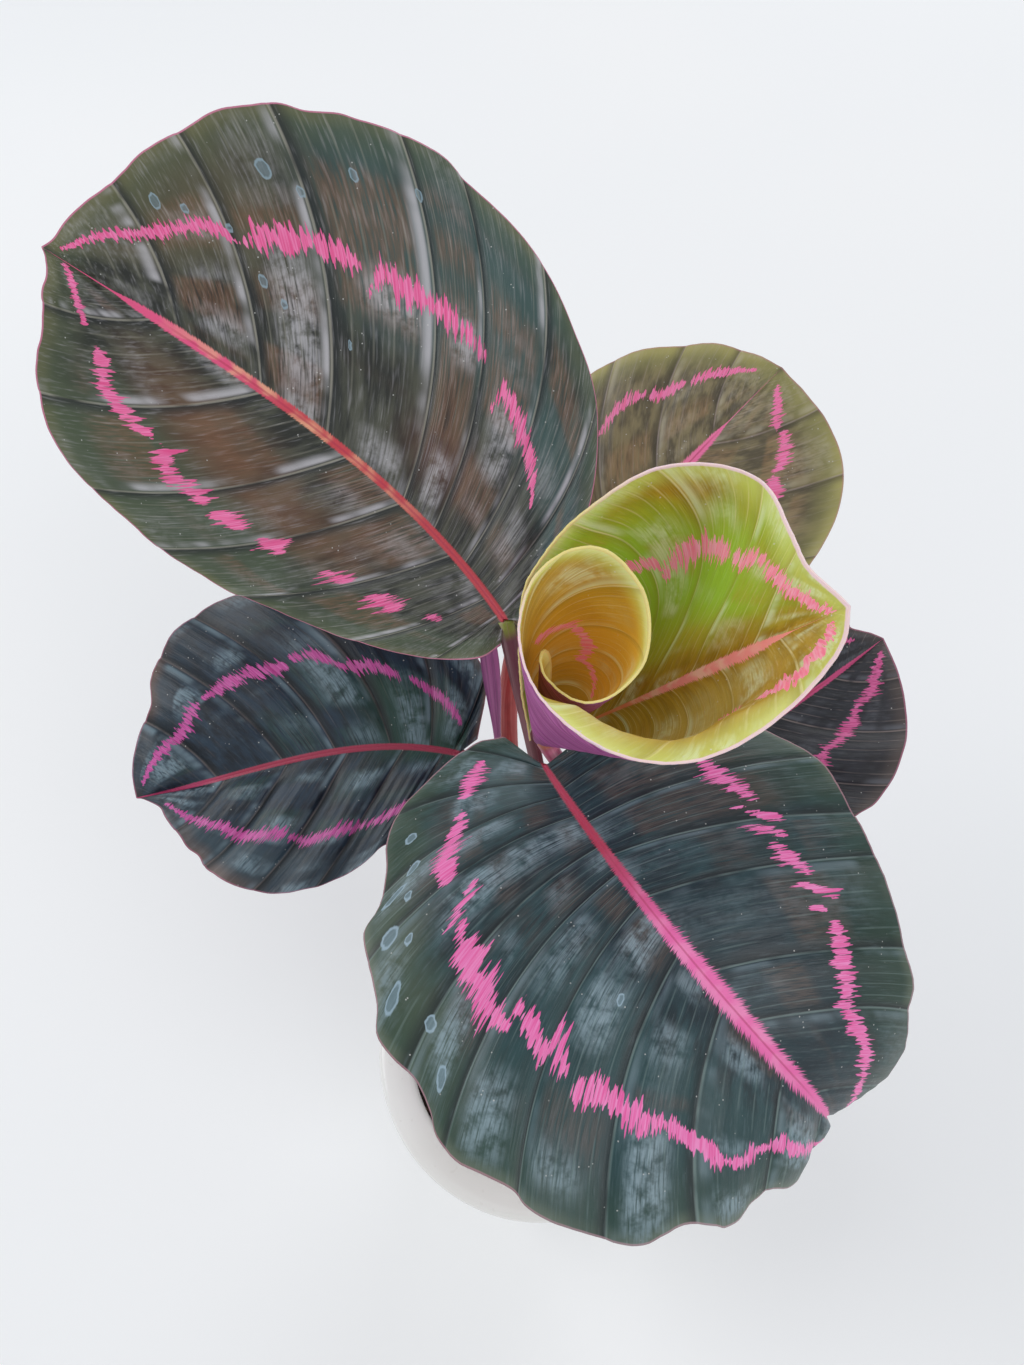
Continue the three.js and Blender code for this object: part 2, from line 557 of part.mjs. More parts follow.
const spearCurve = stalkCurve(SPEAR, point(SPEAR.tip));
addPiece('spear', stalkGeometry(spearCurve, spearRadius, 12, 20), SPEAR.colour, 0.4);
holes.push(stalkGeometry(spearCurve, (along) => spearRadius(along) + GAP, 12, 20));

addPiece('pot', potGeometry(), 0xf2f1ee, 0.25);
addPiece('soil', soilGeometry(holes), 0x2e241c, 0.95);

export default plant;
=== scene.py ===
# %% [markdown]
# # A potted calathea, leaf by leaf
# The plant is a white pot of soil, five open leaves with a broken pink ring, one young leaf that is still
# rolled like a paper cone, and one spear that hasn't opened. The solids of the plant are already made, and
# this lesson dresses them: finer blades with pleats, veins and markings, round stalks, crumbly soil and a
# glazed pot. Everything stays in the frame of the solids, so nothing has to be fitted by hand.

# %% Load the solids
import math

import bmesh
import bpy
import numpy as np
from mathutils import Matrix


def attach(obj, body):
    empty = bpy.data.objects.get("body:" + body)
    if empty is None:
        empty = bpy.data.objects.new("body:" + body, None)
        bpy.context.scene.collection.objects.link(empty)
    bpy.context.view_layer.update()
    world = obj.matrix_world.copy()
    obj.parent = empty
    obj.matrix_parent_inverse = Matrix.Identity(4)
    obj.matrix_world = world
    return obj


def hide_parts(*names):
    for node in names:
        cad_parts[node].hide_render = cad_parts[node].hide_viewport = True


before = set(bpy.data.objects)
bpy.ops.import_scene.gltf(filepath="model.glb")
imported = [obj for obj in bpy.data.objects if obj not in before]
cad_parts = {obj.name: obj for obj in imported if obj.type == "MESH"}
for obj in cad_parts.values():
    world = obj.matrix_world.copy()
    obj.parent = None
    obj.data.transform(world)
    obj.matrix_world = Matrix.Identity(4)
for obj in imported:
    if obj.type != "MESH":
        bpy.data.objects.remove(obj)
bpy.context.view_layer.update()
MM = 0.001

# %% [markdown]
# ## The camera
# The photograph looks down on the plant at 58 degrees, from close by, with the wide lens of a phone. A
# lens of 26 mm on a 36 mm frame has that view. Close and wide matters here: the high leaves look much
# larger than the low ones, and the stalks run away from the eye.

# %% Place the camera
CAMERA_PLACE = (-0.0098, -0.082, 0.497)
CAMERA_LENS, CAMERA_SENSOR = 25.98, 36
CAMERA_TURN = 32

camera_data = bpy.data.cameras.new("photo_camera")
camera_data.lens = CAMERA_LENS
camera_data.sensor_width = CAMERA_SENSOR
camera = bpy.data.objects.new("photo_camera", camera_data)
camera.location = CAMERA_PLACE
camera.rotation_euler = (math.radians(CAMERA_TURN), 0, 0)
bpy.context.scene.collection.objects.link(camera)
bpy.context.scene.camera = camera
print("camera at", tuple(camera.location))

# %% [markdown]
# ## Curves
# Three curves carry the whole plant. A smooth curve through given points draws the edge of a leaf. A
# curve with four control points draws a midrib or a stalk. Points at even distances along that second
# curve need a small table of its length, because its own parameter runs faster where the controls are far
# apart.

# %% A smooth curve through points
def through_points(points, along):
    points = np.array(points, float)
    last = len(points) - 1
    place = np.clip(np.asarray(along, float), 0, 1) * last
    start = np.minimum(np.floor(place).astype(int), last - 1)
    part = (place - start)[..., None]
    before = points[np.maximum(start - 1, 0)]
    here = points[start]
    there = points[start + 1]
    after = points[np.minimum(start + 2, last)]
    leave = (there - before) / 2
    arrive = (after - here) / 2
    cubic = 2 * here - 2 * there + leave + arrive
    square = -3 * here + 3 * there - 2 * leave - arrive
    return cubic * part**3 + square * part**2 + leave * part + here

# %% A curve with four controls, and its direction
def unit(vectors):
    return vectors / np.maximum(np.linalg.norm(vectors, axis=-1, keepdims=True), 1e-12)

def bend_places(controls, time):
    first, second, third, fourth = np.array(controls, float)
    time = np.asarray(time, float)[..., None]
    rest = 1 - time
    return rest**3 * first + 3 * time * rest**2 * second + 3 * time**2 * rest * third + time**3 * fourth

def bend_directions(controls, time):
    first, second, third, fourth = np.array(controls, float)
    time = np.asarray(time, float)[..., None]
    rest = 1 - time
    slope = rest**2 * (second - first) + 2 * time * rest * (third - second) + time**2 * (fourth - third)
    return unit(slope)

def even_times(controls, along):
    times = np.linspace(0, 1, 401)
    steps = np.linalg.norm(np.diff(bend_places(controls, times), axis=0), axis=1)
    run = np.concatenate([[0], np.cumsum(steps)])
    return np.interp(np.asarray(along) * run[-1], run, times), run[-1]

# %% [markdown]
# ## The shapes of the open leaves
# A calathea blade is a flat rounded sheet, folded a little along its midrib and bent down towards its
# edges. So each leaf is laid out flat first, as distances from the midrib and along it in millimetres,
# and then bent into space. The numbers are those of the solids, so the fine blade lies where the solid
# one does. The outlines weren't chosen by hand: a separate program fitted their points to the edges of
# the leaves in the photograph.

# %% The layout of each open leaf
LEAVES = {
    "a": dict(
        length=162, roll=32, waves=6, wave_height=1.6,
        midrib=[[-12, 71, 284], [-41, 116, 294], [-91, 139, 313], [-136, 157, 335]],
        fold=dict(left=(-6, -6), right=(2, 2)), droop=dict(left=0.005, right=0.003),
        left=[[5, -5], [10.5, -4.9], [16.5, -1.1], [22.5, 4.2], [26.5, 8.4], [31.3, 14.9], [34.4, 20.4],
              [37.8, 26.9], [41.5, 32.9], [45.6, 41.2], [48.3, 48.8], [50.1, 57.1], [52.9, 67],
              [54.6, 70.9], [56.9, 78.4], [57.9, 86.2], [57.5, 93.4], [56.3, 100.8], [55.1, 108.1],
              [54.9, 116.7], [54, 125.2], [50.9, 132.3], [46.3, 137.7], [41.7, 142.6], [36.7, 147.1],
              [31.8, 150.7], [25.8, 152.4], [20.1, 152.7], [14.6, 154.7], [10.1, 157], [5.5, 157.8],
              [1.9, 160], [0, 162]],
        right=[[5, -5], [10.7, -2.7], [18.9, 0.6], [27.7, 4.6], [35.2, 9.1], [42.4, 14.2], [49.2, 20],
              [55.4, 26.3], [60.7, 33.4], [65.2, 40.6], [70, 48.7], [73.4, 56.6], [75.9, 65.2],
              [77.8, 73.9], [79.4, 82.3], [81.2, 89.6], [79.9, 96.8], [77.4, 102.8], [74.7, 109.5],
              [73.2, 116.2], [69.5, 122.9], [66.6, 129.6], [60.7, 134.7], [54.6, 140.2], [47.3, 144.5],
              [41.2, 148.7], [34.8, 151.6], [28.3, 152.6], [21.5, 154.5], [15.5, 157.2], [9.6, 159.3],
              [3.6, 160.3], [0, 162]],
    ),
    "b": dict(
        length=109, roll=12, waves=5, wave_height=1.4,
        midrib=[[-27, 65, 219], [-63, 74, 220], [-99, 60, 209], [-133, 57, 203]],
        fold=dict(left=(0, 0), right=(12, 12)), droop=dict(left=0.004, right=0.004),
        left=[[6, -4], [10.3, -1.7], [16.4, 1.7], [22.5, 5.8], [27, 10.3], [29.7, 16.8], [31.8, 23.7],
              [34.8, 28.3], [37.2, 33.2], [39.4, 40], [40.5, 46.1], [41.5, 51.9], [41.5, 56.7],
              [41.5, 61.8], [40.9, 66.1], [40, 70.2], [37.9, 74.9], [35.7, 78.5], [33, 81.9],
              [30.3, 84.9], [27.1, 88.6], [23.1, 90], [19.9, 92.8], [15.7, 94.6], [12.3, 96.8], [8, 99.2],
              [4.5, 101], [0.9, 106.3], [0, 109]],
        right=[[6, -5], [10.8, -4.9], [17.7, -4.6], [24.4, -3.3], [29.9, -0.3], [35.2, 3.9], [40, 8.8],
              [44.2, 14.5], [47.8, 20.9], [51, 27.7], [54.1, 34.6], [57, 41.8], [59.3, 48.9],
              [55.8, 57.5], [59.9, 62.3], [60.7, 68.8], [59.8, 74.8], [57.1, 79.9], [54.4, 84.3],
              [51.8, 89.3], [48.2, 93.9], [42.9, 97.5], [37.5, 99.2], [30.1, 99.1], [24.8, 102.4],
              [19.3, 105.4], [11.8, 108.4], [4.9, 109.3], [0, 109]],
    ),
    "c": dict(
        length=149, roll=-4, waves=6, wave_height=1.5,
        midrib=[[-1, 42, 255], [37, -24, 258], [77, -48, 230], [79, -37, 191]],
        fold=dict(left=(5, 14), right=(5, 14)), droop=dict(left=0.005, right=0.005),
        left=[[7, -1], [10.4, -0.8], [15.4, -0.6], [21, -0.1], [26.3, 0.6], [30.8, 1.8], [35.2, 3.3],
              [39.5, 5.2], [43.4, 7.3], [46.9, 9.7], [50.1, 12.2], [53, 15], [55.6, 18.1], [57.8, 21.7],
              [59.7, 25.7], [61.4, 30.3], [62.7, 35.1], [63.7, 39.9], [64.3, 44.5], [64.7, 49.1],
              [64.7, 53.7], [64.5, 58.3], [62.3, 67], [62, 67.4], [60.4, 70.9], [58.3, 74.8],
              [56.6, 78.9], [55.3, 83.9], [54.7, 88], [53.3, 93.1], [51.7, 97.5], [49.3, 101.2],
              [46.1, 104.4], [43.2, 107.8], [40.8, 112.2], [38.6, 116], [35, 120.3], [32.8, 125.6],
              [30.3, 131.5], [27.8, 135.8], [23.6, 137.1], [20.4, 139.8], [17.1, 142], [13.9, 143.9],
              [10.9, 145.6], [7.7, 146.8], [4.6, 147.8], [1.9, 148.5], [0, 149]],
        right=[[4, -9], [5, -12.8], [8.1, -13.7], [11.6, -15.3], [14.8, -16], [18.9, -16.3],
              [23.6, -15.4], [28.4, -13.8], [33, -11.9], [38, -10], [43, -7], [47.7, -2.5], [50.6, 2.2],
              [56, 8], [59, 10], [63.8, 12.5], [66, 18], [67.1, 23.2], [69.4, 28.9], [73.2, 33.4],
              [73.2, 39], [71.7, 45.1], [73, 51.2], [75.1, 55.5], [74.5, 61], [71.4, 65.6], [68.3, 71.1],
              [68.4, 75], [66.8, 79.8], [64.5, 84], [62, 88.1], [59, 92.5], [55.1, 95.7], [49.8, 97.2],
              [45.1, 99.4], [40.8, 105.7], [39.2, 109.8], [35.2, 114.2], [31.7, 115.7], [27.7, 117.6],
              [24.5, 119], [21, 127.8], [16.7, 133.9], [14.3, 137.5], [11, 141], [7.8, 143.8], [4.6, 146],
              [1.9, 147.8], [0, 149]],
    ),
    "d": dict(
        length=125, roll=-5, waves=5, wave_height=1.2,
        midrib=[[-7, 108, 221], [23, 132, 237], [50, 158, 256], [80, 180, 275]],
        fold=dict(left=(5, 5), right=(5, 5)), droop=dict(left=0.004, right=0.004),
        left=[[6, -4], [11.6, -2.3], [19.3, 0.4], [26.1, 4.6], [32, 10.6], [37.4, 17.6], [42, 25.1],
              [45.9, 33.5], [49, 42], [51.2, 50.2], [52.6, 58.5], [53, 66.8], [52.4, 75.3], [50.7, 84.9],
              [47.9, 90.8], [43.5, 96.8], [39, 102], [34, 107.7], [28.6, 113], [23.4, 116.4],
              [18.2, 118.8], [12.9, 121], [8.5, 122.9], [3.3, 124.2], [0, 125]],
        right=[[6, -4], [11.5, -2.6], [19.2, -0.3], [26.1, 3.4], [32.4, 8.6], [38.3, 14.8], [43.2, 21.8],
              [47.5, 29.8], [51, 38], [53.6, 46.2], [55.4, 54.5], [56.1, 62.7], [55.9, 70.9],
              [53.5, 81.1], [52.3, 88], [49.4, 97.6], [44.9, 105.8], [39.9, 111.9], [34.1, 116.4],
              [27.7, 119.4], [21.8, 121.4], [15.9, 122.5], [10.1, 123.7], [5, 124.2], [0, 125]],
    ),
    "e": dict(
        length=94, roll=5, waves=5, wave_height=1.2,
        midrib=[[34, 52, 207], [59, 68, 218], [86, 82, 224], [111, 100, 233]],
        fold=dict(left=(5, 5), right=(5, 5)), droop=dict(left=0.004, right=0.004),
        left=[[6, -4], [11.5, -2.1], [18.9, 1], [24.6, 5.4], [29.2, 11.4], [33, 18], [36, 25],
              [38.3, 32.4], [39.5, 39.5], [39.7, 46.4], [39, 53], [37.2, 59.3], [34.5, 65.3],
              [31.4, 70.5], [28, 74.9], [24, 79], [19.4, 82.9], [11.4, 89], [9.3, 89.2], [4.2, 92.4],
              [0, 94]],
        right=[[6, -4], [11.8, -2.1], [19.6, 0.9], [25.8, 5.6], [30.9, 12], [35, 19], [38.1, 26.1],
              [40.3, 33.4], [41.4, 41], [40.7, 48.2], [40.9, 54.2], [39.1, 60.1], [37.2, 65.1],
              [33.9, 70.3], [30.7, 74.7], [26.6, 78.7], [21.9, 82.1], [17.3, 85.1], [11.6, 88.5],
              [4.8, 91.8], [0, 94]],
    ),
}
print("open leaves, lengths in mm:", {letter: leaf["length"] for letter, leaf in LEAVES.items()})

# %% Bend a flat place on an open leaf into space
def open_surface(leaf):
    midrib = leaf["midrib"]
    chord = np.array(midrib[3], float) - np.array(midrib[0], float)
    level = unit(np.cross(chord, [0, 0, 1]))
    roll = math.radians(leaf["roll"])

    def surface(x, y):
        along = np.clip(y / leaf["length"], 0, 1)
        beyond = y - along * leaf["length"]
        time, run = even_times(midrib, along)
        forward = bend_directions(midrib, time)
        centre = bend_places(midrib, time) + forward * (beyond * run / leaf["length"])[..., None]
        flat = unit(level - forward * (forward @ level)[..., None])
        across = flat * math.cos(roll) + np.cross(flat, forward) * math.sin(roll)
        up = np.cross(across, forward)
        lifts = {}
        for half in ("left", "right"):
            foot, tip = leaf["fold"][half]
            lifts[half] = foot + (tip - foot) * along
        lift = np.radians(np.where(x < 0, lifts["left"], lifts["right"]))
        droop = np.where(x < 0, leaf["droop"]["left"], leaf["droop"]["right"])
        turned = lift - droop * np.abs(x)
        out = (np.sin(lift) - np.sin(turned)) / droop
        rise = (np.cos(turned) - np.cos(lift)) / droop
        return centre + across * (np.sign(x) * out)[..., None] + up * rise[..., None]

    return surface

# %% [markdown]
# ## The shape of the rolled leaf
# A young blade comes out of its stalk rolled up round one long edge, and then opens like a cone of
# paper. The easy way to build that is to walk round an axis: the turn about the axis and the height are
# the flat layout, and the distance from the axis grows from the foot to the rim. Many of the rim's
# numbers were worked out by a separate program from places read off the photograph by eye.

# %% The rim of the rolled leaf, turn by turn: turn, distance from the axis, height
ROLL_FOOT = np.array([-1, 48, 262.0])
ROLL_HEAD = np.array([4.6, 28.1, 340.0])
ROLL_LEFT_RIM = [
    (205, 14.6, 262), (190, 14.6, 284), (172, 14.8, 302), (152, 15.9, 319), (130, 19.2, 331),
    (107, 23.6, 337), (85, 30.6, 342), (65, 42, 345), (46, 47.5, 346), (28, 41.3, 348), (14, 38, 350),
    (0, 40.5, 352),
]
ROLL_RIGHT_RIM = [
    (-600, 5.4, 262), (-590, 5.6, 296), (-565, 6.4, 320), (-530, 8.6, 330), (-484, 11.7, 331),
    (-445, 15.2, 334), (-406, 13.6, 338), (-361, 11.7, 342), (-315, 11.7, 347), (-272, 12.9, 351),
    (-226, 12.9, 348), (-190, 12.6, 343), (-157, 13.6, 340), (-124, 16.6, 337), (-97, 21.5, 333),
    (-73, 29.1, 329), (-48, 39, 329), (-25, 43.1, 336), (-9, 42.5, 347), (0, 40.5, 352),
]
ROLLED = dict(
    base=262, length=352, bowing=0, waves=0, wave_height=0,
    left=[[abs(turn), height] for turn, _, height in ROLL_LEFT_RIM],
    right=[[abs(turn), height] for turn, _, height in ROLL_RIGHT_RIM],
)

# %% Roll a flat place into space
def rolled_surface():
    rim = ROLL_LEFT_RIM + ROLL_RIGHT_RIM[:-1][::-1]
    samples = through_points([row[:2] for row in rim], np.linspace(0, 1, len(rim) * 12 + 1))

    def surface(x, y):
        turn = -x
        height = (y - ROLL_FOOT[2]) / (ROLL_HEAD[2] - ROLL_FOOT[2])
        foot_radius = 4.0 + (turn - 205) / 360 * 1.15
        rim_radius = np.interp(turn, samples[::-1, 0], samples[::-1, 1])
        radius = foot_radius + (rim_radius - foot_radius) * height
        centre = ROLL_FOOT + (ROLL_HEAD - ROLL_FOOT) * height[..., None]
        angle = np.radians(turn)
        return np.stack([
            centre[..., 0] + radius * np.cos(angle),
            centre[..., 1] + radius * np.sin(angle),
            y,
        ], -1)

    return surface

# %% [markdown]
# ## Veins as a grid
# The side veins of a calathea leave the midrib at a slant and sweep out to the edge. If the rows of the
# mesh follow them, pleats, streaks and the pink ring all run the right way for nothing. So every place on
# a blade is named by its station, 0 at the stalk and 1 at the tip, and its reach, 0 at the midrib and 1
# at the edge.

# %% Where a place on a vein lies on the flat blade
def vein_places(leaf, half, station, reach):
    base = leaf.get("base", 0)
    root = np.stack([0 * station, base + (leaf["length"] - base) * station**2], -1)
    end = through_points(leaf[half], station)
    bow = 0.13 * leaf.get("bowing", 1) * np.minimum(1, 4 * station)
    middle = np.stack([
        (root[..., 0] + end[..., 0]) / 2 + bow * (end[..., 1] - root[..., 1]),
        (root[..., 1] + end[..., 1]) / 2 - bow * (end[..., 0] - root[..., 0]),
    ], -1)
    outward = reach[..., None]
    place = root * (1 - outward)**2 + middle * 2 * outward * (1 - outward) + end * outward**2
    return place

# %% [markdown]
# ## Pleats
# The blade is pleated: it sinks along each main vein and swells between two of them, never twice by the
# same amount. The main veins are put on rows of the mesh, so each crease stays sharp. The spaces between
# them are drawn at random from a fixed seed, and each pleat gets its own height.

# %% Spread the main veins over the rows of a blade
def main_vein_rows(rows, count, random):
    spaces = random.uniform(0.7, 1.3, count)
    edges = np.concatenate([[0], np.cumsum(spaces)]) / spaces.sum() * rows
    return np.round(edges).astype(int)

def pleat_numbers(rows, vein_rows):
    return np.interp(np.arange(rows + 1), vein_rows, np.arange(len(vein_rows)))

def smooth_step(low, high, value):
    part = np.clip((value - low) / (high - low), 0, 1)
    return part * part * (3 - 2 * part)

# %% The relief of a blade, in millimetres
def pleat_relief(numbers, reach, heights):
    pleat = np.minimum(np.floor(numbers).astype(int), len(heights) - 1)
    part = numbers - pleat
    swell = np.sin(math.pi * part**0.72)**0.8
    ribs = 0.10 * np.sin(2 * math.pi * numbers * 5)
    fade = smooth_step(0.0, 0.25, reach) * (1 - 0.45 * smooth_step(0.7, 1, reach))
    return (heights[pleat] * swell + ribs) * fade

def soft_bumps(x, y, random, height):
    total = 0 * x
    for _ in range(7):
        length = random.uniform(16, 48)
        angle = random.uniform(0, math.pi)
        phase = random.uniform(0, 2 * math.pi)
        total = total + np.sin((x * math.cos(angle) + y * math.sin(angle)) * 2 * math.pi / length + phase)
    return height * total / 3

# %% [markdown]
# ## The ring and the midrib
# The ring isn't painted evenly. It is a row of short strokes, one or two in each pleat, and each stroke
# is a bundle of fine streaks that run along the veins. Each stroke is given here by a few places:
# station, reach, and half its length along the vein in millimetres. The streaks come later, in the
# finish. The places were read off the photograph by eye or chosen by hand, turned into these numbers by
# a separate program, and touched up.

